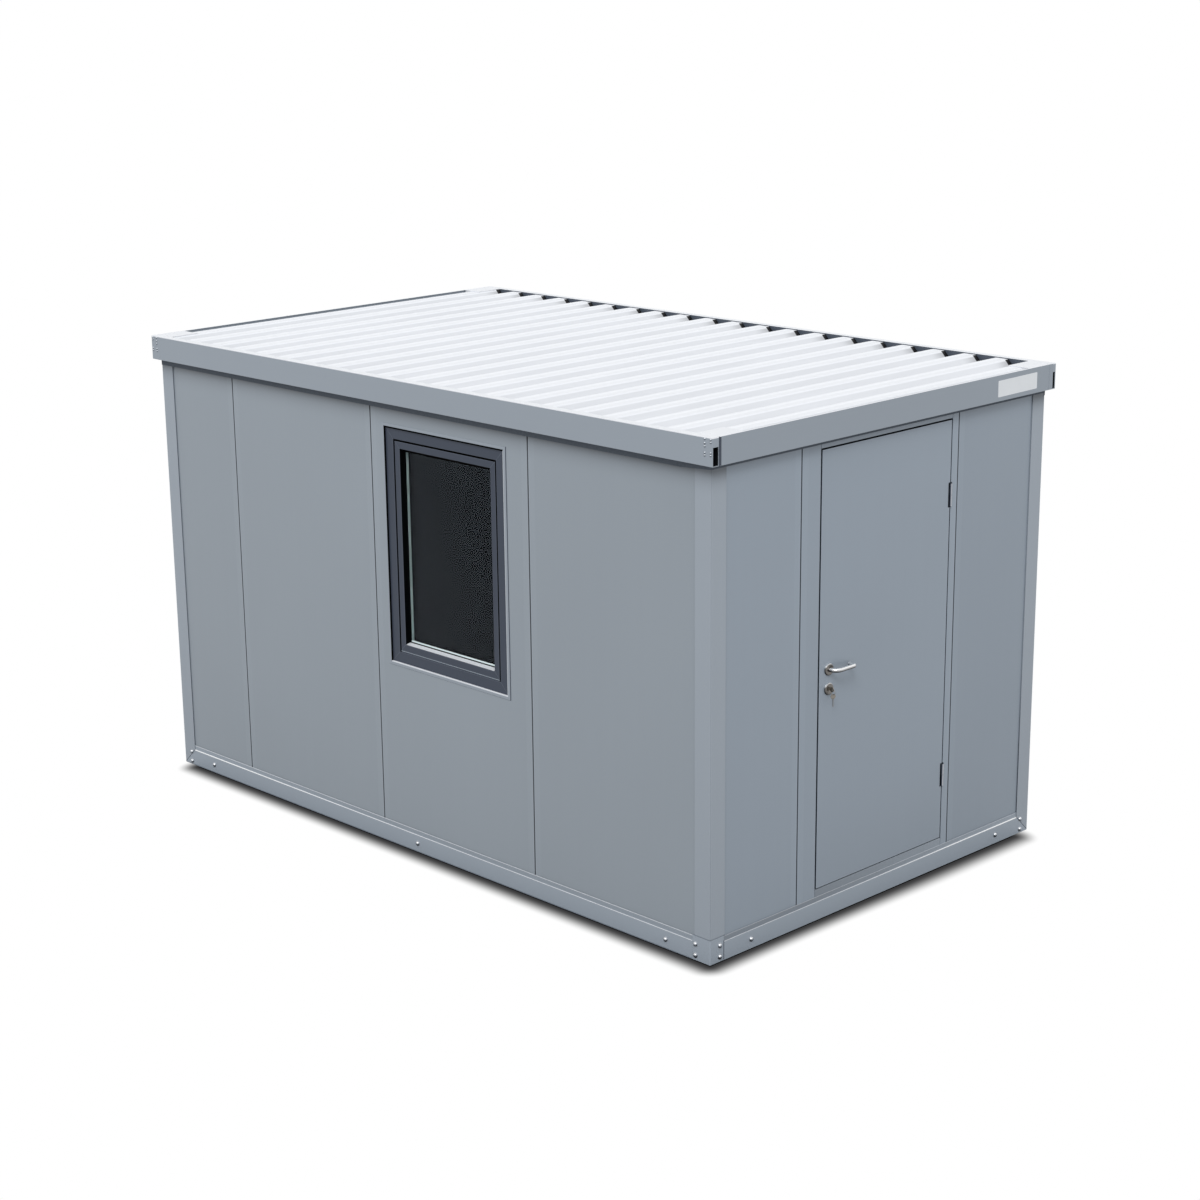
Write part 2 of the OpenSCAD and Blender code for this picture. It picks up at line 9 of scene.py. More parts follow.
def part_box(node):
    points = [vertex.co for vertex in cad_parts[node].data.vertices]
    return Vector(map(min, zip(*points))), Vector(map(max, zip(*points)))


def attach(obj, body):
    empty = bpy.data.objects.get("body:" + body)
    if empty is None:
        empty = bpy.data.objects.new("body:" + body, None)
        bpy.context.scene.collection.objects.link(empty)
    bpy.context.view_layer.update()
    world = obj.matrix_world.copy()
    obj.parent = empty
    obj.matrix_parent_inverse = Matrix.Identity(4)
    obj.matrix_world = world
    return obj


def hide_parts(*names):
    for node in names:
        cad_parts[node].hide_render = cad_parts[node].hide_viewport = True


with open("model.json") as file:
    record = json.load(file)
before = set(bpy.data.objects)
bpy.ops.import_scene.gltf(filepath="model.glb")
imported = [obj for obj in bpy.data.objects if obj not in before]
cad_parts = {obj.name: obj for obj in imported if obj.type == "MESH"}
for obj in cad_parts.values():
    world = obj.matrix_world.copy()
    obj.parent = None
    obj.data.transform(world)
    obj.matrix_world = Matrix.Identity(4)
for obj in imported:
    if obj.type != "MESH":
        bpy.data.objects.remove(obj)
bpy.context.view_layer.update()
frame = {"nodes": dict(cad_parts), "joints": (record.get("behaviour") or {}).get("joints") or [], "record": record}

MM = 0.001
BOTH = (-1, 1)
CORNERS = [(end_x, end_y) for end_x in BOTH for end_y in BOTH]


# -------- shader values and finishes

class Value:
    """A shader value that adds, multiplies and compares like a number. Least and most hold it at or
    above and at or below another, and whole rounds it down."""

    def __init__(self, finish, socket):
        self.finish, self.socket = finish, socket

    def math(self, operation, *terms):
        return self.finish.node("ShaderNodeMath", {"operation": operation}, dict(enumerate(terms)))

    def __add__(self, other): return self.math("ADD", self, other)
    def __radd__(self, other): return self.math("ADD", other, self)
    def __sub__(self, other): return self.math("SUBTRACT", self, other)
    def __rsub__(self, other): return self.math("SUBTRACT", other, self)
    def __mul__(self, other): return self.math("MULTIPLY", self, other)
    def __rmul__(self, other): return self.math("MULTIPLY", other, self)
    def __truediv__(self, other): return self.math("DIVIDE", self, other)
    def __rtruediv__(self, other): return self.math("DIVIDE", other, self)
    def __pow__(self, other): return self.math("POWER", self, other)
    def __rpow__(self, other): return self.math("POWER", other, self)
    def __gt__(self, other): return self.math("GREATER_THAN", self, other)
    def __lt__(self, other): return self.math("LESS_THAN", self, other)
    def __abs__(self): return self.math("ABSOLUTE", self)
    def most(self, other): return self.math("MINIMUM", self, other)
    def least(self, other): return self.math("MAXIMUM", self, other)
    def whole(self): return self.math("FLOOR", self)


class Finish:
    """A material or a world under construction: every node comes from node()."""

    def __init__(self, owner):
        owner.use_nodes = True
        self.owner, self.tree = owner, owner.node_tree
        self.tree.nodes.clear()

    def node(self, kind, settings=None, inlets=None, outlet=0):
        """A node with its settings, then the values or links of its inlets; gives one of its outlets."""
        made = self.tree.nodes.new(kind)
        for key, value in (settings or {}).items():
            setattr(made, key, value)
        for key, value in (inlets or {}).items():
            if isinstance(value, Value):
                self.tree.links.new(value.socket, made.inputs[key])
            else:
                made.inputs[key].default_value = value
        return Value(self, made.outputs[outlet]) if made.outputs else None

    def place(self, scale=(1, 1, 1)):
        """Object coordinates, stretched along each axis."""
        where = self.node("ShaderNodeTexCoord", outlet="Object")
        if scale == (1, 1, 1):
            return where
        return self.node("ShaderNodeMapping", {"vector_type": "POINT"}, {"Vector": where, "Scale": scale})

    def along(self, axis):
        """One of the object coordinates X, Y and Z, in metres."""
        return self.node("ShaderNodeSeparateXYZ", inlets={"Vector": self.place()}, outlet=axis)

    def facing(self, axis):
        """How far the surface faces along an axis, -1 to 1."""
        normal = self.node("ShaderNodeTexCoord", outlet="Normal")
        return self.node("ShaderNodeSeparateXYZ", inlets={"Vector": normal}, outlet=axis)

    def noise(self, size, detail=2.0, stretch=(1, 1, 1), roughness=0.5):
        """Even noise of about 0 to 1 whose lumps are size metres apart."""
        return self.node("ShaderNodeTexNoise", inlets={
            "Vector": self.place(stretch), "Scale": 1 / size, "Detail": detail, "Roughness": roughness})

    def ramp(self, value, low, high, start=0.0, end=1.0):
        """A smooth step from start to end while value runs from low to high."""
        return self.node("ShaderNodeMapRange", {"interpolation_type": "SMOOTHSTEP"}, {
            "Value": value, "From Min": low, "From Max": high, "To Min": start, "To Max": end})

    def band(self, value, middle, half, soft):
        """1 within half of the middle, fading to 0 over soft."""
        return self.ramp(abs(value - middle), half, half + soft, 1.0, 0.0)

    def mix(self, share, under, over):
        """Two colours, the second one over the first by a share that may vary."""
        return self.node("ShaderNodeMix", {"data_type": "RGBA"}, {0: share, 6: under, 7: over}, outlet=2)

    def grey(self, amount):
        """A number as a colour."""
        return self.node("ShaderNodeCombineColor", inlets={0: amount, 1: amount, 2: amount})

    def shade(self, colour, amount):
        """The colour times an amount that may vary."""
        return self.node("ShaderNodeMix", {"data_type": "RGBA", "blend_type": "MULTIPLY"},
                         {0: 1.0, 6: colour, 7: self.grey(amount)}, outlet=2)

    def relief(self, height):
        """A bump from a height in metres."""
        return self.node("ShaderNodeBump", inlets={"Strength": 1.0, "Distance": 1.0, "Height": height})

    def surface(self, **sockets):
        """Ends the material with a principled shader and gives it back."""
        names = {key.replace("_", " ").title().replace("Ior", "IOR"): value
                 for key, value in sockets.items()}
        shader = self.node("ShaderNodeBsdfPrincipled", inlets=names)
        self.node("ShaderNodeOutputMaterial", inlets={"Surface": shader})
        return self.owner

    def looked_at(self):
        """1 where the camera, a reflection or a look through glass ends, 0 for the light it casts."""
        seen, mirrored, through = (self.node("ShaderNodeLightPath", outlet=f"Is {ray} Ray")
                                   for ray in ("Camera", "Glossy", "Transmission"))
        return (seen + mirrored + through).most(1.0)


def paint(red, green, blue):
    """A colour from its usual 0 to 255 steps, made linear."""
    linear = [(c / 255 / 12.92) if c <= 10 else ((c / 255 + 0.055) / 1.055) ** 2.4
              for c in (red, green, blue)]
    return (*linear, 1.0)


def new_finish(name):
    """The start of a material."""
    return Finish(bpy.data.materials.new(name))


WALL_GREY = paint(141, 149, 157)
FRAME_GREY = paint(144, 152, 161)
# painted light: the pale of lit tops and of highlights along folds
LIT_PALE = paint(231, 233, 237)
ROOF_PALE = paint(235, 237, 241)
# dark seam lines, and painted shade on the roof rails' inner faces and along the base rails' bottom edge
SEAM_AND_SHADE_GREY = paint(80, 88, 100)
# painted shade in the gap round the door leaf and on the posts' lips
GAP_SHADE = paint(36, 41, 50)
WINDOW_GREY = paint(59, 66, 79)
BASE_GREY = paint(151, 160, 170)
POST_GREY = paint(149, 157, 166)
DOOR_END_GREY = paint(141, 151, 162)

wall_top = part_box("front_panel_1")[1].z


def eaves_painted_shade(f, deep=False):
    """How much darker a wall is painted just under the roof frame, as painted shade. On the long
    sides and the posts this painted shade is deep and reaches further down."""
    if deep:
        return 0.6 * ((f.along("Z") - (wall_top - 0.170)) / 0.140).least(0.0).most(1.0) ** 3.0
    return 0.24 * f.ramp(f.along("Z"), wall_top - 0.085, wall_top - 0.010) ** 1.5


def wall_coat(name, joints=(), axis="X", gap_shade_depth=None, lit_rims=(), tone=WALL_GREY, deep_shade=False,
              foot=None, fades=()):
    """Smooth coil-coated steel skin: satin, very slightly wavy and a little lighter beside the joints,
    with a painted highlight along each joint's fold, painted shade right at the joint and painted
    shade under the eaves. Edges between the two X values of gap_shade_depth are painted dark as the shade
    in the gap there. A rim is a (axis, place) of a fold along which a painted highlight runs. Foot
    is the (height, share) of a dark line along the wall's foot, above which the skin is a little
    darker. A fade is (axis, from, to, start, end) of a slow change in the skin's lightness."""
    f = new_finish(name)
    lightness = 0.975 + 0.05 * f.noise(0.9, 1.0) + 0.02 * (f.noise(0.05, 2.0, (1, 1, 0.04)) - 0.5)
    wave = 0.0012 * f.noise(0.75, 1.0, (1, 1, 0.6)) + 0.00001 * f.noise(0.0022, 1.0)
    if joints:
        run = f.along(axis)
        beside = abs(run - joints[0])
        for joint in joints[1:]:
            beside = beside.most(abs(run - joint))
        beads = f.ramp(beside, 0.040, 0.046, 1.0, 0.0)
        # 7.5 mm from a joint a painted highlight runs along its fold; right at the joint the skin is painted dark
        # as the shade in it
        lightness = lightness + 0.03 * beads + 0.07 * f.band(beside, 0.0075, 0.0012, 0.0016)
        lightness -= 0.62 * f.ramp(beside, 0.0038, 0.0046, 1.0, 0.0)
        wave += 0.0002 * beads
    # painted highlights along the folded rims
    for rim_axis, spot in lit_rims:
        lightness += 0.09 * f.band(f.along(rim_axis), spot, 0.0025, 0.002)
    for fade_axis, low, high, start, end in fades:
        lightness += f.ramp(f.along(fade_axis), low, high, start, end)
    if foot:
        over = f.along("Z") - foot[0]
        lightness -= foot[1] * f.ramp(over, 0.004, 0.009, 1.0, 0.0)
        lightness -= 0.04 * f.ramp(over, 0.0, 0.03, 1.0, 0.0)
    # painted shade under the eaves
    colour = f.shade(tone, lightness - eaves_painted_shade(f, deep_shade))
    # painted shade in the gap round the door leaf
    if gap_shade_depth:
        depth = f.along("X")
        colour = f.mix((depth > gap_shade_depth[0]) * (depth < gap_shade_depth[1]), colour, GAP_SHADE)
    return f.surface(base_color=colour, roughness=0.36 + 0.1 * f.noise(0.35, 3.0),
                     normal=f.relief(wave), specular_ior_level=0.4)


def frame_coat(name, folds=(), lit_from=None, dark_within=None, hollow=None, foot_line=None, tone=FRAME_GREY,
               recess=None, ledge=None, far=None):
    """Powder-coated folded steel. A fold is (height, half width, share) of an edge that carries a
    painted highlight, lit_from is the height from which the coat is painted pale as a lit top, and
    dark_within is the half width (Y) and the top of the inner faces, painted dark as their shade.
    Hollow is a (low, high) box, mirrored in X and Y, in which the inside of the rail is painted near
    black as its shade. Foot_line is the height of a dark line: a post's butt seam, or painted shadow
    along a base rail's bottom edge. Recess is the (X, Y) reach of a post within which its lips are
    painted dark as the shade beside the panels; such a post is also painted darker under the eaves.
    Ledge is (height, share): from that height up the coat is painted darker by the share, as shade.
    Far is (axis, start, end) along a base rail: towards the end the painted highlight on its first
    fold grows wider and paler and the ledge's painted shade fades."""
    f = new_finish(name)
    height = f.along("Z")
    lightness = 0.98 + 0.04 * f.noise(0.6, 2.0)
    far_light = f.ramp(f.along(far[0]), far[1], far[2]) if far else 0.0
    # painted shade under the eaves on the posts
    if recess:
        lightness -= eaves_painted_shade(f, True)
    # painted shade on the recessed ledge and upstand
    if ledge:
        on_ledge = f.ramp(height, ledge[0] - 0.6 * MM, ledge[0] - 0.1 * MM)
        lightness -= ledge[1] * (1 - 0.9 * far_light) * on_ledge
    colour = f.shade(tone, lightness)
    # painted shade on the post's lips beside the panels, strongest low down
    if recess:
        x, y = abs(f.along("X")), abs(f.along("Y"))
        lip = (x < recess[0] - 1.2 * MM) * (y < recess[1] - 1.2 * MM)
        low_down = f.ramp(height, 0.3, 1.0, 0.9, 0.3)
        outside = (low_down * (x > recess[0] - 6.5 * MM)).least(0.6 * (y > recess[1] - 6.5 * MM))
        colour = f.mix(lip * outside, colour, GAP_SHADE)
    # a dark line: a post's butt seam, or painted shadow along a base rail's bottom edge
    if foot_line:
        colour = f.mix(0.55 * f.band(height, foot_line, 0.0015, 0.004), colour, SEAM_AND_SHADE_GREY)
    # painted highlights along the folds, broken up at random
    for i, (fold, half, share) in enumerate(folds):
        bright, glint_breaks = LIT_PALE, f.ramp(f.noise(0.03, 2.0), 0.2, 0.45, 0.75, 1.0)
        if far and i == 0:
            half = half + 1.3 * MM * far_light
            share = share + (1.0 - share) * far_light
            bright = f.mix(far_light, LIT_PALE, paint(253, 253, 253))
        colour = f.mix(f.band(height, fold, half, 0.0006) * glint_breaks * share, colour, bright)
    # painted light on the lit top
    if lit_from is not None:
        colour = f.mix(height > lit_from, colour, f.shade(LIT_PALE, 0.97 + 0.06 * f.noise(0.4, 3.0)))
    # painted shade on the inner faces
    if dark_within:
        inner = (abs(f.along("Y")) < dark_within[0]) * (height < dark_within[1])
        colour = f.mix(inner, colour, SEAM_AND_SHADE_GREY)
    # painted shade inside the rail's box
    if hollow:
        low, high = hollow
        x, y = abs(f.along("X")), abs(f.along("Y"))
        inside = (x < high[0]) * (y > low[1]) * (y < high[1]) * (height > low[2]) * (height < high[2])
        colour = f.mix(inside, colour, paint(16, 18, 22))
    return f.surface(base_color=colour, roughness=0.4 + 0.08 * f.noise(0.2, 3.0), specular_ior_level=0.4,
                     normal=f.relief(0.00003 * f.noise(0.003, 2.0) + 0.0006 * f.noise(0.5, 1.0)))


def sheet_coat(pitch, crown, end):
    """Pale coated roof sheet with faint run marks along the ribs, painted shade on its flanks and
    painted highlights on its crowns and along their folds. Between the ribs it is painted darker
    towards its back end, and near black at both of its very ends, as painted shade. Pitch is the step
    of the ribs, crown a rib's half width and end the sheet's half length (Y)."""
    f = new_finish("pale_roof_coat")
    step = f.along("X") / pitch + 0.5
    across = (step - step.whole() - 0.5) * pitch
    off_rib = abs(across)
    marks = f.noise(0.03, 3.0, (1, 0.05, 1)) * f.noise(0.8, 2.0)
    # painted shade on the flanks, broken up by the run marks
    flank_shade = f.ramp(off_rib, crown + 0.003, crown + 0.007) * f.ramp(marks, 0.1, 0.45, 1.0, 0.75)
    # painted highlights on the crowns and along their folds
    glint = f.band(across, -0.012, 0.006, 0.010)
    folded = f.band(off_rib, crown + 0.0015, 0.002, 0.003)
    from_end, valley = end - f.along("Y"), f.ramp(off_rib, crown + 0.002, crown + 0.008)
    at_back = f.ramp(from_end, 0.027, 0.030, 1.0, 0.0)
    at_ends = at_back.least(f.ramp(end + f.along("Y"), 0.011, 0.014, 1.0, 0.0))
    # near black painted shade at the sheet's very ends, between the ribs
    end_shade = f.ramp(off_rib, crown - 0.004, crown - 0.001) * at_ends
    lightness = 0.985 + 0.06 * marks + 0.07 * glint + 0.04 * folded - 0.125 * flank_shade
    # painted shade between the ribs towards the back end
    lightness -= 0.22 * valley * f.ramp(from_end, 0.02, 0.13, 1.0, 0.0)
    colour = f.mix(end_shade, f.shade(ROOF_PALE, lightness), paint(7, 8, 11))
    return f.surface(base_color=colour, roughness=0.42 + 0.1 * f.noise(0.1, 2.0),
                     normal=f.relief(0.0005 * f.noise(0.4, 1.0)), specular_ior_level=0.3)


def window_foil(name, middle, half_size, folds):
    """Smooth grained foil on plastic, with the weld seams of its mitred corners, and painted highlights
    along its folds, which are insets from the frame's outline."""
    f = new_finish(name)
    across, up = half_size[0] - abs(f.along("X") - middle[0]), half_size[1] - abs(f.along("Z") - middle[1])
    weld = f.ramp(abs(across - up), 0.0003, 0.0012, 1.0, 0.0)
    inset = across.most(up)
    # painted highlights along the folds
    glint = f.band(inset, folds[0], 0.0006, 0.0008)
    for fold in folds[1:]:
        glint = glint.least(f.band(inset, fold, 0.0006, 0.0008))
    grain = f.noise(0.0012, 2.0, (1, 1, 0.25))
    colour = f.shade(WINDOW_GREY, 0.93 + 0.14 * grain)
    colour = f.mix((weld * 0.3).least(glint * 0.16), colour, paint(150, 158, 170))
    return f.surface(base_color=colour, roughness=0.38 + 0.12 * grain, specular_ior_level=0.25,
                     normal=f.relief(0.00004 * grain - 0.0002 * weld))


def brushed(name, colour, roughness, direction=(1, 1, 0.06), top=None, under=None, under_to=0.05):
    """Satin metal with fine brush lines. Where top is given, a painted highlight lies where it faces up
    and painted shade (under) where it faces down, which it does up to a slope of under_to."""
    f = new_finish(name)
    lines = f.noise(0.0006, 2.0, direction)
    cloud = f.noise(0.02, 3.0)
    tone = f.shade(colour, 0.9 + 0.12 * lines + 0.08 * cloud)
    # painted highlight where it faces up and painted shade where it faces down
    if top:
        facing = f.facing("Z") + 0.1 * (cloud - 0.5)
        tone = f.mix(f.ramp(facing, 0.15, 0.7), tone, top)
        tone = f.mix(f.ramp(facing, -0.6, under_to, 1.0, 0.0), tone, f.shade(under, 0.9 + 0.2 * lines))
    return f.surface(base_color=tone, metallic=1.0,
                     roughness=roughness + 0.1 * lines + 0.05 * cloud, normal=f.relief(0.000004 * lines))


def one_sided_steel(name):
    """Brushed steel with painted shade on the side facing the rear and the window, and painted light on the other.
    """
    f = new_finish(name)
    outward = (f.facing("X") + f.facing("Y")) * 0.7
    rub = f.noise(0.0006, 2.0, (1, 1, 0.06))
    # painted shade on one side and painted light on the other
    shaded_side, pale = f.shade(paint(86, 94, 108), 0.9 + 0.2 * rub), paint(176, 179, 184)
    return f.surface(base_color=f.mix(f.ramp(outward, -0.25, 0.35), shaded_side, pale), metallic=1.0,
                     roughness=0.4 + 0.1 * rub, normal=f.relief(0.000004 * rub))


def plain_coat(name, tone, cloud, rough, shine, grain=None):
    """A skin of one tone, or of a tone that a function of the finish gives. Cloud and rough are the
    (least, span, size, detail) of its lightness and roughness, grain the (height, size, detail) of
    its relief."""
    f = new_finish(name)
    lightness, roughness = (least + span * f.noise(size, detail)
                            for least, span, size, detail in (cloud, rough))
    relief = {"normal": f.relief(grain[0] * f.noise(*grain[1:]))} if grain else {}
    return f.surface(base_color=f.shade(tone(f) if callable(tone) else tone, lightness),
                     roughness=roughness, specular_ior_level=shine, **relief)


def rubber(name, colour, shine):
    """Sealing rubber with a dull, faintly dusty skin."""
    return plain_coat(name, colour, (0.8, 0.5, 0.01, 3.0), (0.6, 0.2, 0.004, 2.0), shine,
                      (0.00003, 0.0015, 2.0))


def glazing(between):
    """Float glass: the outer pane clear, the pane behind the given depth (Y) darkly tinted."""
    f = new_finish("float_glass")
    smears = 0.97 + 0.03 * f.noise(0.25, 2.0)
    clear, tinted = (f.shade(tone, smears) for tone in (paint(250, 253, 252), paint(72, 82, 86)))
    return f.surface(base_color=f.mix(f.along("Y") > between, clear, tinted), roughness=0.0,
                     transmission_weight=1.0, ior=1.138, specular_tint=(0.5, 0.7, 1, 1))


def vinyl_floor():
    """Wood-pattern vinyl planks laid along the room."""
    f = new_finish("plank_vinyl")
    plank = f.along("Y") / 0.145
    row = plank.whole()
    seat = (f.along("X") + row * 0.37) / 1.22
    board = row * 7.3 + seat.whole() * 3.1
    tone = f.node("ShaderNodeTexWhiteNoise", {"noise_dimensions": "1D"}, {"W": board})
    edge = (abs(plank - row - 0.5) > 0.488).least(abs(seat - seat.whole() - 0.5) > 0.4985)
    grain = f.noise(0.012, 5.0, (0.07, 1, 1), 0.65)
    colour = f.mix(grain, paint(128, 106, 80), paint(182, 158, 126))
    colour = f.mix(edge * 0.7, f.shade(colour, 0.86 + 0.24 * tone), paint(60, 48, 36))
    return f.surface(base_color=colour, roughness=0.38 + 0.2 * grain, specular_ior_level=0.35,
                     normal=f.relief(0.00008 * grain - 0.0004 * edge))


# -------- shapes

def placed(name, data):
    """A new object in the scene, at the origin."""
    made = bpy.data.objects.new(name, data)
    bpy.context.scene.collection.objects.link(made)
    return made


def finished(bm, crease, name, finish, slot, replaces=(), body="root"):
    """One finished object: smooth but for folds of more than crease degrees, riding on its body."""
    mesh = bpy.data.meshes.new(name)
    bm.to_mesh(mesh)
    bm.free()
    mesh.shade_smooth()
    mesh.set_sharp_from_angle(angle=radians(crease))
    mesh.materials.append(finish)
    piece = placed(name, mesh)
    piece.modifiers.new("normals", "WEIGHTED_NORMAL").keep_sharp = True
    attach(piece, body)
    if replaces:
        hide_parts(*replaces)


class Piece:
    """One finished piece. Its parts are shaped at the origin and then put in their places."""

    def __init__(self, *facts):
        """The facts are its name, finish, slot (which is not used), the nodes that it stands for and its body."""
        self.facts, self.whole = facts, bmesh.new()

    def add(self, part, place=Matrix()):
        """Adds a closed part; its faces are turned outwards."""
        bmesh.ops.remove_doubles(part, verts=part.verts, dist=1e-6)
        part.transform(place)
        bmesh.ops.recalc_face_normals(part, faces=part.faces)
        carrier = bpy.data.meshes.new("part")
        part.to_mesh(carrier)
        part.free()
        self.whole.from_mesh(carrier)
        bpy.data.meshes.remove(carrier)
        return self

    def block(self, low, high, radius=0.0, place=Matrix(), segments=1):
        """Adds a block from its lowest to its highest corner, rounded where a radius is given."""
        part = slab(low, high)
        return self.add(rounded(part, radius, segments=segments) if radius else part, place)

    def done(self, crease=35):
        finished(self.whole, crease, *self.facts)


def rounded(bm, radius, edges=None, segments=2, least=30):
    """Rounds the given edges, or all that turn by more than least degrees."""
    if edges is None:
        edges = [e for e in bm.edges if len(e.link_faces) == 2 and e.calc_face_angle() > radians(least)]
    bmesh.ops.bevel(bm, geom=edges, offset=radius, offset_type="OFFSET", affect="EDGES",
                    segments=segments, profile=0.5, clamp_overlap=True, material=-1)
    return bm


def lathe(outline, steps):
    """Turns an outline of (radius, height) points once round the Z axis."""
    bm = bmesh.new()
    chain = [bm.verts.new((radius, 0, height)) for radius, height in outline]
    lines = [bm.edges.new(pair) for pair in zip(chain, chain[1:])]
    bmesh.ops.spin(bm, geom=chain + lines, cent=(0, 0, 0), axis=(0, 0, 1), angle=2 * pi, steps=steps,
                   use_merge=True, use_duplicate=False)
    bmesh.ops.remove_doubles(bm, verts=bm.verts, dist=1e-7)
    return bm


def shifted(bm, move, verts=None):
    """Moves a shape, or some of its points."""
    bmesh.ops.translate(bm, vec=move, verts=bm.verts if verts is None else verts)


def swivelled(bm, angle, axis):
    """Turns a shape about the origin."""
    bmesh.ops.rotate(bm, verts=bm.verts, cent=(0, 0, 0), matrix=Matrix.Rotation(angle, 3, axis))


def raised(bm, faces, move):
    """Draws faces out by a move."""
    drawn = bmesh.ops.extrude_face_region(bm, geom=faces)["geom"]
    shifted(bm, move, [g for g in drawn if isinstance(g, bmesh.types.BMVert)])
    return bm


def prism(outline, move):
    """A closed outline of points, drawn out by a move."""
    bm = bmesh.new()
    return raised(bm, [bm.faces.new([bm.verts.new(point) for point in outline])], move)


def slab(low, high):
    """A block from its lowest to its highest corner, drawn up from one face."""
    low, high = Vector(low), Vector(high)
    bm = bmesh.new()
    bmesh.ops.create_grid(bm, x_segments=1, y_segments=1, size=0.5)
    size = high - low
    bmesh.ops.scale(bm, vec=(size.x, size.y, 1), verts=bm.verts)
    shifted(bm, ((low.x + high.x) / 2, (low.y + high.y) / 2, low.z))
    return raised(bm, bm.faces[:], (0, 0, size.z))


def mitred_ring(width, height, profile):
    """A frame with mitred corners round a rectangle in X and Z centred on the origin. The closed
    profile gives (inset from the rectangle, depth along Y)."""
    bm = bmesh.new()
    bmesh.ops.create_circle(bm, segments=4, radius=0.5 ** 0.5)
    swivelled(bm, pi / 4, "Z")
    swivelled(bm, pi / 2, "X")
    edges, size, level = bm.edges[:], Vector((1, 1)), 0.0
    for i, (inset, depth) in enumerate(profile + profile[:1]):
        if i:
            edges = pushed(bm, edges, (0, 0, 0))
        wanted = Vector((width - 2 * inset, height - 2 * inset))
        ends = list({v for e in edges for v in e.verts})
        bmesh.ops.scale(bm, vec=(wanted.x / size.x, 1, wanted.y / size.y), verts=ends)
        shifted(bm, (0, depth - level, 0), ends)
        size, level = wanted, depth
    bmesh.ops.remove_doubles(bm, verts=bm.verts, dist=1e-6)
    return bm


def pushed(bm, edges, move):
    """Draws edges out by a move and returns the new outer edges."""
    drawn = bmesh.ops.extrude_edge_only(bm, edges=edges)["geom"]
    shifted(bm, move, [g for g in drawn if isinstance(g, bmesh.types.BMVert)])
    return [g for g in drawn if isinstance(g, bmesh.types.BMEdge)
            and all(v in drawn for v in g.verts) and len(g.link_faces) == 1]


def swung(bm, edges, centre, axis, angle, steps):
    """Swings edges round an axis and returns the edges that they end at."""
    made = bmesh.ops.spin(bm, geom=edges + list({v for e in edges for v in e.verts}), cent=centre, axis=axis,
                          angle=angle, steps=steps, use_merge=False, use_duplicate=False)["geom_last"]
    return [g for g in made if isinstance(g, bmesh.types.BMEdge)]


def moved(x, y, z):
    return Matrix.Translation((x, y, z))


def turned(angle, axis="Z"):
    return Matrix.Rotation(angle, 4, axis)


def side_place(side):
    """The side frame: x to the right as seen from outside, y inwards from the rail's face, z up."""
    low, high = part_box("base_rail_" + side)
    turn = {"front": 0, "door_end": 1, "back": 2, "rear": 3}[side]
    reach = {"front": -low.y, "door_end": high.x, "back": high.y, "rear": -low.x}[side]
    return turned(turn * pi / 2) @ moved(0, -reach, 0)


def facing_out(place, x, z):
    """A place on a side whose Z axis points outwards."""
    return place @ moved(x, 0, z) @ turned(pi / 2, "X")


def dressed(node, finish, radius=1.2 * MM, edges=None, segments=2):
    """A node's own shape with rounded folds, in a merged copy that stands for it."""
    bm = bmesh.new()
    bm.from_mesh(frame["nodes"][node].data)
    bmesh.ops.remove_doubles(bm, verts=bm.verts, dist=1e-5)
    bmesh.ops.dissolve_limit(bm, angle_limit=radians(0.4), verts=bm.verts, edges=bm.edges)
    for layer in list(bm.loops.layers.uv):
        bm.loops.layers.uv.remove(layer)
    rounded(bm, radius, edges and [e for e in bm.edges if edges(e)], segments)
    record = frame["record"]
    body = next(b for b, nodes in record["behaviour"]["bodies"].items() if node in nodes)
    slot = next(p["material_slot"] for p in record["subparts"] if p["node"] == node)
    finished(bm, 35, node + "_folded", finish, slot, [node], body)


def repaint(node, finish):
    """A node kept as it is, with a better finish."""
    for slot in frame["nodes"][node].material_slots:
        slot.material = finish


# -------- walls

# sizes of the solids that their boxes don't give
PANEL_INSET, GROOVE_WIDE, GROOVE_DEEP = 6 * MM, 5 * MM, 9 * MM       # the panels and their joints
LEAF_GAP, HINGE_GAP = 8 * MM, 5.5 * MM                               # the gaps round the door leaf
RAIL_HIGH, BUTT_LINE = 90 * MM, 119 * MM                             # the base rails and corner brackets
BRACKET_WIDE, FOOT_WIDE = 90 * MM, 95 * MM                           # the square and the slanted corners
ROOF_BOX_WIDE, PLATE_LONG, PLATE_WIDE = 40 * MM, 130 * MM, 205 * MM  # the roof rails and corner plates
RIB_PITCH, RIB_HALF = 194.3 * MM, 39 * MM                            # the roof sheet's ribs
STOP_LAP, STOP_THICK = 20 * MM, 15 * MM                              # the door stops

LONG_SIDES = ("front", "back")
joints = {"front": [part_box(f"front_panel_{i}")[1].x for i in (1, 2, 3)],
          "back": [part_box(f"back_panel_{i}")[0].x for i in (1, 2, 3)],
          "rear": [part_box(f"rear_panel_{i}")[0].y for i in (1, 2)],
          "door_end": [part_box("door_wall_left")[1].y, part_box("door_wall_right")[0].y]}
base_low, base_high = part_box("base_rail_front")
leaf_low, leaf_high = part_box("door_leaf")
skin_fold = 2.2 * MM
leaf_edges = (leaf_low.x + skin_fold, leaf_high.x - skin_fold)

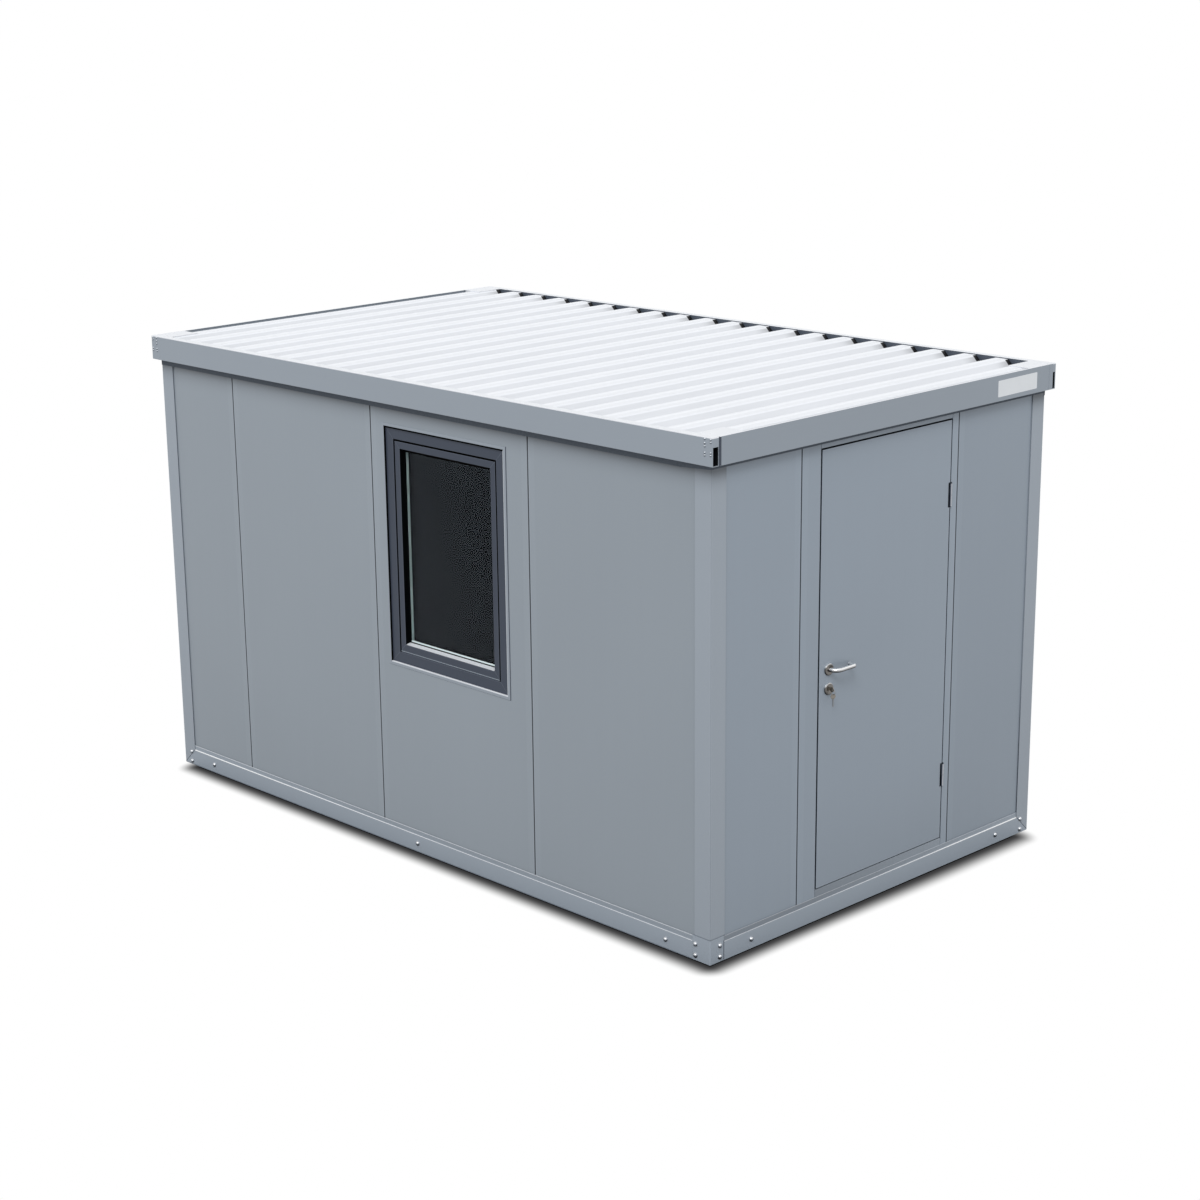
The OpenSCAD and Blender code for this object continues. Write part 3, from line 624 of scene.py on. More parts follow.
wall_foot = (base_high.z, 0.10)
skins = {
    "front": wall_coat("wall_coat_window_side", joints["front"], deep_shade=True, foot=wall_foot, fades=[
        ("X", -1.5, -0.9, 0.0, 0.024), ("X", 0.5, 1.0, 0.0, -0.026), ("Z", 0.3, 1.3, 0.012, 0.0)]),
    "back": wall_coat("wall_coat_back", joints["back"], deep_shade=True, foot=wall_foot),
    "rear": wall_coat("wall_coat_rear", joints["rear"], "Y", foot=wall_foot),
    "door_end": wall_coat("wall_coat_door_end", joints["door_end"], "Y", tone=DOOR_END_GREY,
                          foot=wall_foot, fades=[("Y", 0.4, 0.55, 0.0, -0.052)])}
# painted highlights along the rims round the door leaf, and painted shade in its gap
surround_coat = wall_coat(
    "door_surround_coat", joints["door_end"], "Y", leaf_edges, tone=DOOR_END_GREY,
    lit_rims=[("Y", leaf_low.y - LEAF_GAP), ("Y", leaf_high.y + HINGE_GAP)])
leaf_coat = wall_coat(
    "door_leaf_coat", gap_shade_depth=leaf_edges, tone=DOOR_END_GREY,
    lit_rims=[("Y", leaf_low.y), ("Y", leaf_high.y), ("Z", leaf_high.z), ("Z", leaf_low.z)],
    fades=[("Z", 0.15, 0.7, -0.045, 0.0), ("Z", 2.0, 2.2, 0.0, -0.024)])
for i in range(1, 5):
    for side in LONG_SIDES:
        dressed(f"{side}_panel_{i}", skins[side])
for i in range(1, 4):
    dressed(f"rear_panel_{i}", skins["rear"])
for node in ("door_wall_left", "door_wall_right"):
    dressed(node, skins["door_end"])
for node in ("door_jamb_lock", "door_jamb_hinge", "door_head"):
    dressed(node, surround_coat)

# -------- frame

rail_top = base_low.z + RAIL_HIGH
rail_fold = 1.1 * MM


def base_rail_coat(kind, rail_share, upstand_share, ledge_share, far, foot_line=None):
    """The coat of a base rail. The folds of the rail and of its upstand carry painted highlights by their shares,
    and its ledge painted shade by ledge_share.
    """
    return frame_coat(kind + "_base_rail_coat", tone=BASE_GREY, ledge=(rail_top, ledge_share), far=far,
                      foot_line=foot_line, folds=((rail_top - 1.0 * MM, 0.8 * MM, rail_share),
                                                  (base_high.z - 0.9 * MM, 0.8 * MM, upstand_share)))


# the long rails' 1 mm foot line is painted shadow along their bottom edge
long_coat = base_rail_coat("long", 1.0, 0.7, 0.14, ("X", 0.6, -2.4), 1 * MM)
short_coat = base_rail_coat("short", 0.75, 0.3, 0.34, ("Y", -0.6, 1.2))
post_reach = (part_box("post_front_right")[1].x, -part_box("post_front_right")[0].y)
# painted shade on the posts' lips and under the eaves
square_post_coat = frame_coat("post_coat", foot_line=BUTT_LINE, tone=POST_GREY, recess=post_reach)
slanted_post_coat = frame_coat("footed_post_coat", tone=POST_GREY, recess=post_reach)
foot_coat = frame_coat("bracket_coat", tone=BASE_GREY)
roof_low, roof_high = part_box("roof_rail_back")
box_from = roof_high.y - ROOF_BOX_WIDE
# painted light on the rails' tops, painted shade on their inner faces and inside their boxes
rail_coat = frame_coat(
    "roof_rail_coat", lit_from=roof_high.z - 4.5 * MM,
    dark_within=(box_from + 2 * MM, roof_high.z - 0.8 * MM),
    hollow=((0, box_from + 2.5 * MM, roof_low.z + 2.5 * MM),
            (roof_high.x - 3.5 * MM, roof_high.y - 2.5 * MM, roof_high.z - 2.5 * MM)))
# painted light along the fascias' top edges
fascia_coat = frame_coat("fascia_coat", lit_from=roof_high.z - 1.3 * MM, tone=paint(140, 148, 157))
for side in ("front", "door_end", "back", "rear"):
    dressed("base_rail_" + side, long_coat if side in LONG_SIDES else short_coat, rail_fold)
for corner, coat in (("front_right", square_post_coat), ("back_right", slanted_post_coat),
                     ("back_left", square_post_coat), ("front_left", slanted_post_coat)):
    dressed("post_" + corner, coat, rail_fold)
dressed("corner_brackets", foot_coat, rail_fold)
dressed("door_threshold", short_coat, 1.5 * MM)
for side in LONG_SIDES + ("door_end", "rear"):
    dressed("roof_rail_" + side, rail_coat if side in LONG_SIDES else fascia_coat, rail_fold)
repaint("floor_joists", foot_coat)

# -------- roof

sheet_low, sheet_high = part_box("roof_sheet")
roof_coat = sheet_coat(RIB_PITCH, RIB_HALF, sheet_high.y)


def rib_fold(edge):
    """Whether an edge is a fold that runs along a rib."""
    step = edge.verts[1].co - edge.verts[0].co
    return (abs(step.y) > 0.5 and len(edge.link_faces) == 2
            and radians(20) < edge.calc_face_angle() < radians(80))


dressed("roof_sheet", roof_coat, 4 * MM, rib_fold, 3)
# painted light: the whole plate is painted pale as a lit top
corner_plate_coat = frame_coat("corner_plate_coat", lit_from=0.0)
dressed("roof_corner_plates", corner_plate_coat, 0.8 * MM)
plate_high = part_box("roof_corner_plates")[1]
fascia_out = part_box("roof_rail_door_end")[1].x

# strips that close the gap between the sheet's ends and the end fascias
closing = Piece("sheet_edge_strips", roof_coat, "roof_sheet")
strip_low, strip_top = sheet_low.z + 1.6 * MM, plate_high.z - 1 * MM
for turn in (pi, 0):
    closing.block((sheet_high.x - 6 * MM, sheet_low.y + 1 * MM, strip_low),
                  (fascia_out - 2.6 * MM, sheet_high.y - 1 * MM, sheet_low.z + 4.6 * MM),
                  0.6 * MM, turned(turn))
# under the corner plates' inner edges: a skirt past the last rib, a lip on that rib and a skirt beside it
rib_end, skirt_x = sheet_high.x - 42 * MM, plate_high.x + 8 * MM - PLATE_LONG
skirt_y, lip_thick = plate_high.y + 42.6 * MM - PLATE_WIDE, 1.4 * MM
for corner in CORNERS:
    for low, high, radius in (
            ((rib_end, skirt_y - 1.2 * MM, strip_low), (plate_high.x, skirt_y, strip_top), 0.3 * MM),
            ((skirt_x, skirt_y - lip_thick, sheet_high.z - 0.2 * MM), (rib_end, skirt_y, strip_top), 0),
            ((skirt_x, skirt_y - lip_thick, strip_low), (skirt_x + lip_thick, sheet_high.y, strip_top), 0)):
        closing.block(low, high, radius, Matrix.Diagonal((*corner, 1, 1)))
closing.done()
repaint("ceiling", plain_coat(
    "white_lining", paint(234, 234, 230), (0.97, 0.05, 0.5, 2.0), (0.5, 0.1, 0.02, 2.0), 0.3,
    (0.00004, 0.004, 2.0)))
repaint("floor_deck", vinyl_floor())

# -------- bolts and rivets

# bolts and rivets with painted highlights on top and painted shade underneath
bolt_coat = brushed("zinc_bolts", paint(150, 156, 164), 0.3, (1, 1, 1), paint(240, 241, 243),
                    paint(44, 47, 55))
rivet_steel = brushed("rivet_steel", paint(150, 157, 165), 0.35, (1, 1, 1), paint(214, 217, 222),
                      paint(76, 82, 91))


def dome(radius, height, foot, angles):
    """The outline of a dome on a foot, up to its middle."""
    return [(radius * cos(a), foot + (height - foot) * sin(a)) for a in angles] + [(0, height)]


def bolt_head():
    """A domed head on a thin washer."""
    radius, height, rim = 10.5 * MM, 9 * MM, 0.9 * MM
    washer, head = radius * 1.28, dome(radius, height, rim * 1.6, (0, pi / 8, pi / 4, 3 * pi / 8, 0.47 * pi))
    return lathe([(0, -2 * MM), (washer, -2 * MM), (washer, rim * 0.6), (washer - rim * 0.5, rim),
                  (radius, rim), *head], 20)


def rivet_head(radius, height):
    """A shallow dome."""
    return lathe([(0, -1 * MM), (radius, -1 * MM),
                  *dome(radius, height, 0, (0, pi / 6, pi / 3, 0.46 * pi))], 12)


bolts = Piece("base_bolts", bolt_coat, "nickel")
bracket_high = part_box("corner_brackets")[1]
for side in ("front", "back", "door_end", "rear"):
    # the square bracket is at one end of each side and the slanted foot at the other
    if side in LONG_SIDES:
        square_end, half, from_end, between = 1, bracket_high.x, 90 * MM, (-1.725, 0, 1.725)
    else:
        square_end, half, from_end, between = -1, bracket_high.y, 64 * MM, (-0.915, 0.915)
    spots = [(x, RAIL_HIGH / 2) for x in between]
    spots += [(square_end * (half - from_end), z * MM) for z in (78, 24)]
    spots += [(-square_end * (half - 65 * MM), z * MM) for z in (73, 19)]
    for x, z in spots:
        bolts.add(bolt_head(), facing_out(side_place(side), x, z))
bolts.done()

rivets = Piece("roof_rivets", rivet_steel, "nickel")
for turn in (0, pi):
    for end in BOTH:
        for from_end, drops in ((45 * MM, (9, 27, 40, 68, 79)), (11 * MM, (10, 21, 66, 77))):
            for drop in drops:
                rivets.add(rivet_head(5.2 * MM, 4.4 * MM), facing_out(
                    turned(turn) @ moved(0, -roof_high.y, 0), end * (roof_high.x - from_end),
                    roof_high.z - drop * MM))
rivets.done()
plate_rivets = Piece("plate_rivets", corner_plate_coat, "roof_sheet")
for end_x, end_y in CORNERS:
    for dx, dy in ((18, 30), (18, 90), (18, 145), (60, 20), (105, 20)):
        plate_rivets.add(rivet_head(4 * MM, 2 * MM), moved(
            end_x * (plate_high.x - dx * MM), end_y * (plate_high.y - dy * MM), plate_high.z))
plate_rivets.done()

# -------- blank plate on the fascia

plate_coat = plain_coat("blank_plate_film", paint(216, 219, 222), (0.96, 0.06, 0.05, 3.0),
                        (0.3, 0.1, 0.02, 2.0), 0.4, (0.0002, 0.06, 1.0))
plate_wide, plate_tall = 308 * MM, 79 * MM
film = slab((-plate_wide / 2, -plate_tall / 2, -0.2 * MM), (plate_wide / 2, plate_tall / 2, 0.8 * MM))
upright_edges = [e for e in film.edges if abs(e.verts[0].co.z - e.verts[1].co.z) > 0.5 * MM]
door_fascia = turned(pi / 2) @ moved(0, -fascia_out, 0)
plate_mid, plate_tilt = (0.914, 2.3375), radians(0.4)      # along the fascia and up, and hung a little askew
Piece("blank_plate", plate_coat, "frame_steel").add(
    rounded(film, 5 * MM, upright_edges, 4), facing_out(door_fascia, *plate_mid) @ turned(plate_tilt)).done()

# -------- painted shade in the gaps at the frame's ends, and covers

shade_strip_coat = plain_coat("grey_shade_strip", paint(66, 72, 83), (0.9, 0.2, 0.01, 3.0),
                           (0.55, 0.2, 0.006, 2.0), 0.3, (0.00004, 0.002, 2.0))
# painted shade: dark strips standing in for the open gaps at the fascias' ends
end_shade_strips = Piece("fascia_end_seals", shade_strip_coat, "frame_steel")
covers = Piece("rail_end_covers", fascia_coat, "frame_steel")
for turn in (0, pi):       # the door end and, turned half round, the rear end
    end_shade_strips.block((roof_high.x - 0.4 * MM, 40 * MM - roof_high.y, roof_low.z + 2 * MM),
                    (roof_high.x + 1 * MM, 53 * MM - roof_high.y, roof_high.z - 2 * MM),
                    0.3 * MM, turned(turn))
    covers.block((roof_high.x - 0.4 * MM, roof_high.y - 52 * MM, roof_low.z + 0.5 * MM),
                 (roof_high.x + 1.2 * MM, roof_high.y - 23 * MM, roof_high.z - 0.3 * MM),
                 0.4 * MM, turned(turn))
end_shade_strips.done()
covers.done()

# painted shade: dark grey packing between the walls and the roof frame, all round, standing in for the shade under
# the eaves
shade_packing = Piece("eaves_packing", rubber("eaves_packing_rubber", paint(76, 82, 90), 0.2), "wall_panel")
packing_tall, reach_x, reach_y = 20 * MM, *post_reach
shade_packing.add(mitred_ring(2 * reach_x + 1 * MM, 2 * reach_y + 1 * MM, [
    (0, 0), (8 * MM, 0), (8 * MM, packing_tall), (0, packing_tall)]),
    moved(0, 0, wall_top - 0.2 * MM - packing_tall) @ turned(pi / 2, "X"))
# a second dark strip below it on the long sides, deepening that painted shade, which runs out to nothing towards
# the post
strip_top, taper_from = wall_top - packing_tall + 0.5 * MM, reach_x - 180 * MM
strip_low = strip_top - 12.5 * MM
for turn in (0, pi):
    shade_packing.block((-reach_x - 0.3 * MM, -reach_y - 0.3 * MM, strip_low),
                  (taper_from, -reach_y + 7.5 * MM, strip_top), place=turned(turn))
    taper = slab((taper_from - 1 * MM, -reach_y - 0.3 * MM, strip_low),
                 (reach_x - 2 * MM, -reach_y + 7.5 * MM, strip_top))
    bmesh.ops.scale(taper, vec=(1, 1, 0.1), verts=[v for v in taper.verts if v.co.x > taper_from],
                    space=moved(0, 0, -strip_top))
    shade_packing.add(taper, turned(turn))
shade_packing.done()

# painted shade: a dark strip in the open seam where the square bracket meets the rail of the door end, and its
# like at the rear
seams = Piece("bracket_seams", shade_strip_coat, "frame_steel")
for side in ("door_end", "rear"):
    seams.block((-2.2 * MM, -0.5 * MM, 3 * MM), (2.2 * MM, 2 * MM, rail_top + 4 * MM), 0.3 * MM,
                side_place(side) @ moved(BRACKET_WIDE - bracket_high.y, 0, 0))
# and along the slanted feet of the other two posts
slant_long = Vector((FOOT_WIDE, RAIL_HIGH)).length
for side, end in (("front", -1), ("door_end", 1), ("back", -1), ("rear", 1)):
    reach = reach_x if side in LONG_SIDES else reach_y
    slant = turned(-atan2(RAIL_HIGH, -end * FOOT_WIDE), "Y")
    seams.block((6 * MM, -0.3 * MM, -1.6 * MM), (slant_long - 2 * MM, 1 * MM, 1.6 * MM), 0.3 * MM,
                side_place(side) @ moved(end * reach, 0, 0) @ slant)
seams.done()

# -------- seals in the panel joints

seal_coat = rubber("black_rubber", paint(26, 28, 31), 0.3)
seals = Piece("joint_seals", seal_coat, "wall_panel")
panel_low, panel_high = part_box("front_panel_2")
seal_foot, seal_half, seal_thick = panel_low.z + 25 * MM, GROOVE_WIDE / 2 + 0.2 * MM, 4 * MM
seal_section = [(-1, 0), (-1, -1), (-0.4, -0.55), (0.4, -0.55), (1, -1), (1, 0)]    # with a hollow face
for side, sign in (("front", 1), ("back", -1), ("rear", -1), ("door_end", 1)):
    for joint in joints[side]:
        seals.add(prism([(x * seal_half, y * seal_thick, 0) for x, y in seal_section],
                        (0, 0, panel_high.z - 1 * MM - seal_foot)),
                  side_place(side) @ moved(sign * joint, PANEL_INSET + GROOVE_DEEP + 0.2 * MM, seal_foot))
seals.done()

# -------- window

frame_low, frame_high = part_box("window_frame")
sash_low, sash_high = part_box("window_sash")
glass_low, glass_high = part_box("window_glass")
trim_low, trim_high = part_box("window_trim")
window_size, sash_size = frame_high - frame_low, sash_high - sash_low
glass_size, trim_size = glass_high - glass_low, trim_high - trim_low
window_mid = (frame_low + frame_high) / 2
window_place = moved(window_mid.x, 0, window_mid.z)
sash_place = window_place @ moved(0, sash_low.y, 0)
sash_foot = window_place @ moved(0, sash_low.y, -sash_size.z / 2)
half_w, half_h = window_size.x / 2, window_size.z / 2
sash_inset = (window_size.x - sash_size.x) / 2   # from the frame's outline to the sash's
sash_face = 50 * MM
bead_from = 43 * MM                              # the visible face of the sash ends here
groove_w = 9.5 * MM                              # the open joint round the sash
face = sash_inset - 0.6 * MM
foil = window_foil("anthracite_foil", (window_mid.x, window_mid.z), (half_w, half_h), (
    face - 0.6 * MM, sash_inset + groove_w + 0.8 * MM, sash_inset + bead_from - 0.6 * MM))

ring = mitred_ring(window_size.x, window_size.z, [
    (0, 0), (face - 1.2 * MM, 0), (face, 1.2 * MM), (face, window_size.y), (0, window_size.y)])
Piece("window_outer_frame", foil, "window_frame", ["window_frame"]).add(
    rounded(ring, 0.4 * MM), window_place @ moved(0, frame_low.y, 0)).done()

glass_set = glass_low.y - sash_low.y
ring = mitred_ring(sash_size.x, sash_size.z, [
    (0, 15 * MM), (groove_w, 15 * MM), (groove_w, 0.8 * MM), (groove_w + 0.8 * MM, 0),
    (bead_from - 1.2 * MM, 0), (bead_from, 1.2 * MM), (sash_face - 0.4 * MM, glass_set - 3 * MM),
    (sash_face, glass_set - 3 * MM), (sash_face, sash_size.y), (0, sash_size.y)])
Piece("window_sash_frame", foil, "window_frame", ["window_sash"]).add(
    rounded(ring, 0.3 * MM), sash_place).done()

pane = 4 * MM
panes = Piece("window_panes", glazing((glass_low.y + glass_high.y) / 2), "glass", ["window_glass"])
for y in (glass_low.y, glass_high.y - pane):
    panes.block((-glass_size.x / 2, y, -glass_size.z / 2), (glass_size.x / 2, y + pane, glass_size.z / 2),
                0.4 * MM, window_place)
panes.done()

# painted light: the spacer bar is near white along the pane's foot, where light falls, and greyer at the sides and
# top
spacer_coat = plain_coat("spacer_bar", lambda f: f.mix(
    f.along("Z") > glass_low.z + 8 * MM, paint(252, 255, 254), paint(166, 182, 184)),
    (0.94, 0.08, 0.01, 2.0), (0.38, 0.1, 0.004, 2.0), 0.3)
spacer_front, spacer_back = pane + 0.1 * MM, glass_size.y - pane - 0.1 * MM
ring = mitred_ring(glass_size.x - 1 * MM, glass_size.z - 1 * MM, [
    (0, spacer_front), (7 * MM, spacer_front), (7 * MM, spacer_back), (0, spacer_back)])
Piece("window_spacer_bar", spacer_coat, "window_frame").add(
    rounded(ring, 0.6 * MM), window_place @ moved(0, glass_low.y, 0)).done()

gaskets_and_shade = Piece("window_gaskets", rubber("black_gasket_and_shade", paint(4, 5, 6), 0.02), "window_frame")
lip = 6 * MM
for profile in (
        # the lining of the sash's rebate, with a lip on the glass: gasket rubber, near black as painted shade in
        # the deep reveal
        [(bead_from + 0.2 * MM, 2.4 * MM), (bead_from + 1 * MM, 2 * MM),
         (sash_face + 0.4 * MM, glass_set - 5 * MM), (sash_face + lip, glass_set - 1.6 * MM),
         (sash_face + lip, glass_set - 0.2 * MM), (sash_face - 0.4 * MM, glass_set - 0.2 * MM)],
        # the seal in the open joint between frame and sash
        [(-0.5 * MM, 0.7 * MM), (0.9 * MM, 0.7 * MM), (0.9 * MM, 6 * MM), (groove_w - 0.9 * MM, 6 * MM),
         (groove_w - 0.9 * MM, 0.9 * MM), (groove_w - 0.05 * MM, 0.9 * MM), (groove_w - 0.05 * MM, 14.8 * MM),
         (-0.5 * MM, 14.8 * MM)]):
    gaskets_and_shade.add(mitred_ring(sash_size.x, sash_size.z, profile), sash_place)
# a deeper black lip along the top of the pane, as painted shade
rebate_x, rebate_z = sash_size.x / 2 - sash_face, sash_size.z / 2 - sash_face
gaskets_and_shade.block((-rebate_x, glass_set - 1.8 * MM, rebate_z - 12 * MM),
              (rebate_x, glass_set - 0.2 * MM, rebate_z), place=sash_place)
# painted shadow: black strips between the trim and the frame, at the left and top only
seal_face, seal_back = trim_low.y - 0.4 * MM, frame_low.y + 1 * MM
for left, foot, right in ((-half_w - 0.8 * MM, 1 * MM - half_h, 5.6 * MM - half_w),
                          (-half_w - 0.8 * MM, half_h - 7.2 * MM, half_w - 1 * MM)):
    gaskets_and_shade.block((left, seal_face, foot), (right, seal_back, half_h + 0.8 * MM), 1.2 * MM, window_place, 2)
gaskets_and_shade.done()

ledge_coat, pane_bead_coat = (
    plain_coat(name, tone, (0.93, 0.1, 0.02, 3.0), (0.3, 0.1, 0.01, 2.0), 0.4)
    for name, tone in (("glazing_ledge_coat", paint(219, 222, 227)),
                       ("pane_bead_coat", paint(222, 237, 238))))


def edge_strip(profile, length):
    """A strip of a closed (y, z) profile along X, centred on the origin, with rounded folds."""
    return rounded(prism([(-length / 2, y, z) for y, z in profile], (length, 0, 0)), 0.4 * MM)


Piece("window_glazing_ledge", ledge_coat, "window_frame").add(edge_strip([
    (1.4 * MM, bead_from + 0.8 * MM), (1.4 * MM, bead_from + 2.4 * MM), (2.4 * MM, bead_from + 3 * MM),
    (glass_set - 4 * MM, sash_face + 1.2 * MM), (glass_set - 4 * MM, sash_face - 0.4 * MM)],
    sash_size.x - 2 * sash_face + 4 * MM), sash_foot).done()

# a strip clipped into the bottom of the open joint, with a pale line on it as a painted highlight, and a pale bead
# at the pane's foot as painted light
joint_x = sash_size.x / 2 - groove_w
Piece("window_joint_strip", foil, "window_frame").block(
    (-joint_x, 0.5 * MM, 0.2 * MM), (joint_x, 8 * MM, groove_w - 0.3 * MM), place=sash_foot).done()
Piece("window_joint_line", frame_coat("joint_line_coat", tone=paint(150, 160, 170)), "window_frame").block(
    (-joint_x, -0.1 * MM, 5 * MM), (joint_x, 1 * MM, 7.6 * MM), 0.3 * MM, sash_foot).done()
# painted light: a pale bead only at the pane's foot, where light falls
Piece("window_pane_bead", pane_bead_coat, "window_frame").block(
    (-rebate_x + lip, glass_set - 1.4 * MM, sash_face + lip - 0.4 * MM),
    (rebate_x - 1 * MM, glass_set - 0.2 * MM, sash_face + lip + 7 * MM), 0.4 * MM, sash_foot).done()

trim_wide = (trim_size.x - window_size.x) / 2 + 3 * MM
trim_back = frame_low.y - trim_low.y + 1.4 * MM
ring = mitred_ring(window_size.x + 2 * trim_wide, window_size.z + 2 * trim_wide, [
    (0, 2.6 * MM), (0, 0.8 * MM), (0.8 * MM, 0), (trim_wide - 1.2 * MM, 0), (trim_wide, 1.2 * MM),
    (trim_wide, trim_back), (trim_wide - 1 * MM, trim_back), (trim_wide - 1 * MM, 2.6 * MM)])
Piece("window_trim_frame", frame_coat("window_trim_coat"), "frame_steel", ["window_trim"]).add(
    ring, window_place @ moved(0, trim_low.y - 0.4 * MM, 0)).done(20)

# pale lips that lap over the frame's edge at the bottom and at the right, painted pale as highlights
lip_profile = [(-0.4 * MM, -0.8 * MM), (-0.4 * MM, 1.2 * MM), (0.6 * MM, 4.4 * MM), (trim_back, 4.4 * MM),
               (trim_back, -0.8 * MM)]
side_lip_coat = frame_coat("side_lip_coat", folds=((0, 10, 0.35),))      # painted highlight all over
for name, coat, length, place in (
        ("window_trim_lips", ledge_coat, window_size.x - 2 * MM, moved(0, trim_low.y, -half_h)),
        ("window_side_lip", side_lip_coat, window_size.z - 4 * MM,
         moved(half_w, trim_low.y, 0) @ turned(-pi / 2, "Y"))):
    Piece(name, coat, "frame_steel").add(edge_strip(lip_profile, length), window_place @ place).done()
# painted shadow: a thin dark strip along the trim's outer edge at the bottom and right
shade_out, shade_down = (half + trim_wide + 1.2 * MM for half in (half_w, half_h))
shade_back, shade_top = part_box("front_panel_3")[0].y + 0.5 * MM, 1.6 * MM
bead = Piece("window_trim_shade_line", shade_strip_coat, "frame_steel")
bead.block((-shade_out, shade_back - 1.1 * MM, -shade_down), (shade_out, shade_back, shade_top - shade_down),
           place=window_place)
bead.block((shade_out - 2 * MM, shade_back - 2.4 * MM, shade_top - shade_down),
           (shade_out + 1.8 * MM, shade_back, shade_down), place=window_place)
bead.done()

# -------- door

dressed("door_leaf", leaf_coat)
spindle = Vector(next(j for j in frame["joints"] if j["name"] == "lever_turn")["pos_m"])
rose_low, rose_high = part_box("door_roses")
lever_low, lever_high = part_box("door_lever")
# lever and roses with painted highlights on top and painted shade underneath
steel = brushed("satin_stainless", paint(190, 190, 192), 0.2, top=paint(254, 254, 254),
                under=paint(22, 22, 24), under_to=0.3)
rose_steel = brushed("rose_stainless", paint(116, 113, 110), 0.24, top=paint(250, 250, 250),
                     under=paint(30, 29, 28))
hinge_steel = one_sided_steel("hinge_steel")
repaint("door_hinge_pins", hinge_steel)
repaint("door_hinge_knuckles", hinge_steel)

rose_r, solid_rose_r = 28.5 * MM, 27 * MM
rose_t, lock_z = rose_high.x - leaf_high.x, rose_low.z + solid_rose_r
outwards = turned(pi / 2, "Y")      # a part's Z axis turned to +X
leaf_sides = ((leaf_high.x, outwards), (leaf_low.x, turned(-pi / 2, "Y")))

roses = Piece("door_round_roses", rose_steel, "stainless", ["door_roses"], "door")
for z, bore in ((spindle.z, 11 * MM), (lock_z, 8.8 * MM)):
    for x, turn in leaf_sides:
        outline = [(bore, 0), (rose_r, 0), (rose_r, rose_t * 0.45), (rose_r - 1 * MM, rose_t * 0.78),
                   (rose_r - 3 * MM, rose_t * 0.94), (rose_r - 6 * MM, rose_t), (bore + 1 * MM, rose_t),
                   (bore, rose_t - 1 * MM), (bore, 0)]
        roses.add(lathe(outline, 48), moved(x, spindle.y, z) @ turn)
roses.done()

bar_r = (lever_high.z - lever_low.z) / 2 + 0.8 * MM
bar_out = lever_high.x - bar_r - leaf_high.x
bar_end = lever_high.y - bar_r - spindle.y
soft_bend, tight_bend, end_gap = 34 * MM, 13 * MM, 12 * MM


def lever_bar():
    """Neck, soft bend, bar, tight bend and return, drawn along +Z and then +Y."""
    bm = bmesh.new()
    start = bmesh.ops.create_circle(bm, segments=28, radius=bar_r)["verts"]
    edges = list({e for v in start for e in v.link_edges})
    edges = pushed(bm, edges, (0, 0, bar_out - soft_bend))
    edges = swung(bm, edges, (0, soft_bend, bar_out - soft_bend), (-1, 0, 0), pi / 2, 12)
    edges = pushed(bm, edges, (0, bar_end - soft_bend - tight_bend, 0))
    edges = swung(bm, edges, (0, bar_end - tight_bend, bar_out - tight_bend), (-1, 0, 0), pi / 2, 10)
    edges = pushed(bm, edges, (0, 0, -(bar_out - tight_bend - end_gap)))
    bmesh.ops.edgeloop_fill(bm, edges=edges)
    bmesh.ops.edgeloop_fill(bm, edges=[e for e in bm.edges if len(e.link_faces) == 1])
    tip = [e for e in bm.edges
           if e.calc_face_angle(0) > radians(80) and all(v.co.y > bar_end / 2 for v in e.verts)]
    return rounded(bm, 1.8 * MM, tip, 3)


lever = Piece("door_lever_bar", steel, "stainless", ["door_lever"], "lever")
lever.add(lathe([(0, leaf_low.x), (5 * MM, leaf_low.x), (5 * MM, leaf_high.x), (0, leaf_high.x)], 24),
          moved(0, spindle.y, spindle.z) @ outwards)
z_to_x = Matrix(((0, 0, 1, 0), (0, 1, 0, 0), (-1, 0, 0, 0), (0, 0, 0, 1)))
lever.add(lever_bar(), moved(leaf_high.x, spindle.y, spindle.z) @ z_to_x)
lever.add(lever_bar(), moved(leaf_low.x, spindle.y, spindle.z) @ Matrix.Scale(-1, 4, (1, 0, 0)) @ z_to_x)
lever.done(40)

# the lock: cylinder, keys and ring
nickel = brushed("nickel_plate", paint(134, 129, 122), 0.26, (1, 1, 1))
lock = Piece("door_lock_keys", nickel, "nickel", ["door_lock"], "door")
lock_r, lock_proud = 8.5 * MM, rose_t + 2 * MM
for x, turn in leaf_sides:
    outline = [(0, -10 * MM), (lock_r, -10 * MM), (lock_r, lock_proud - 0.8 * MM),
               (lock_r - 0.8 * MM, lock_proud), (4.6 * MM, lock_proud), (4.4 * MM, lock_proud - 0.4 * MM),
               (0, lock_proud - 0.4 * MM)]
    lock.add(lathe(outline, 32), moved(x, spindle.y, lock_z) @ turn)

key_t, bow_r, hole_r = 2.4 * MM, 12 * MM, 2.5 * MM
hole_up = 2 * bow_r - 2 * hole_r
ring_r, wire_r = 11 * MM, 1.2 * MM
sag = hole_r - wire_r - 0.3 * MM
NOTCHES = (0, 0, 0, 1.8, 0.9, 2.3, 0.6, 2.0, 1.1, 2.5, 0.9, 2.6, 3.6)     # depths in mm


def key_bow():
    """A flat round bow with a hole near its top, its neck at the origin; it reaches along +Z."""
    bm = bmesh.new()
    bmesh.ops.create_circle(bm, segments=28, radius=bow_r)
    hole = bmesh.ops.create_circle(bm, segments=28, radius=hole_r)["verts"]
    shifted(bm, (0, hole_up - bow_r, 0), hole)
    bmesh.ops.bridge_loops(bm, edges=bm.edges[:])
    raised(bm, bm.faces[:], (0, 0, key_t))
    shifted(bm, (0, bow_r, -key_t / 2))
    swivelled(bm, pi / 2, "X")
    return rounded(bm, 0.5 * MM, segments=1, least=60)


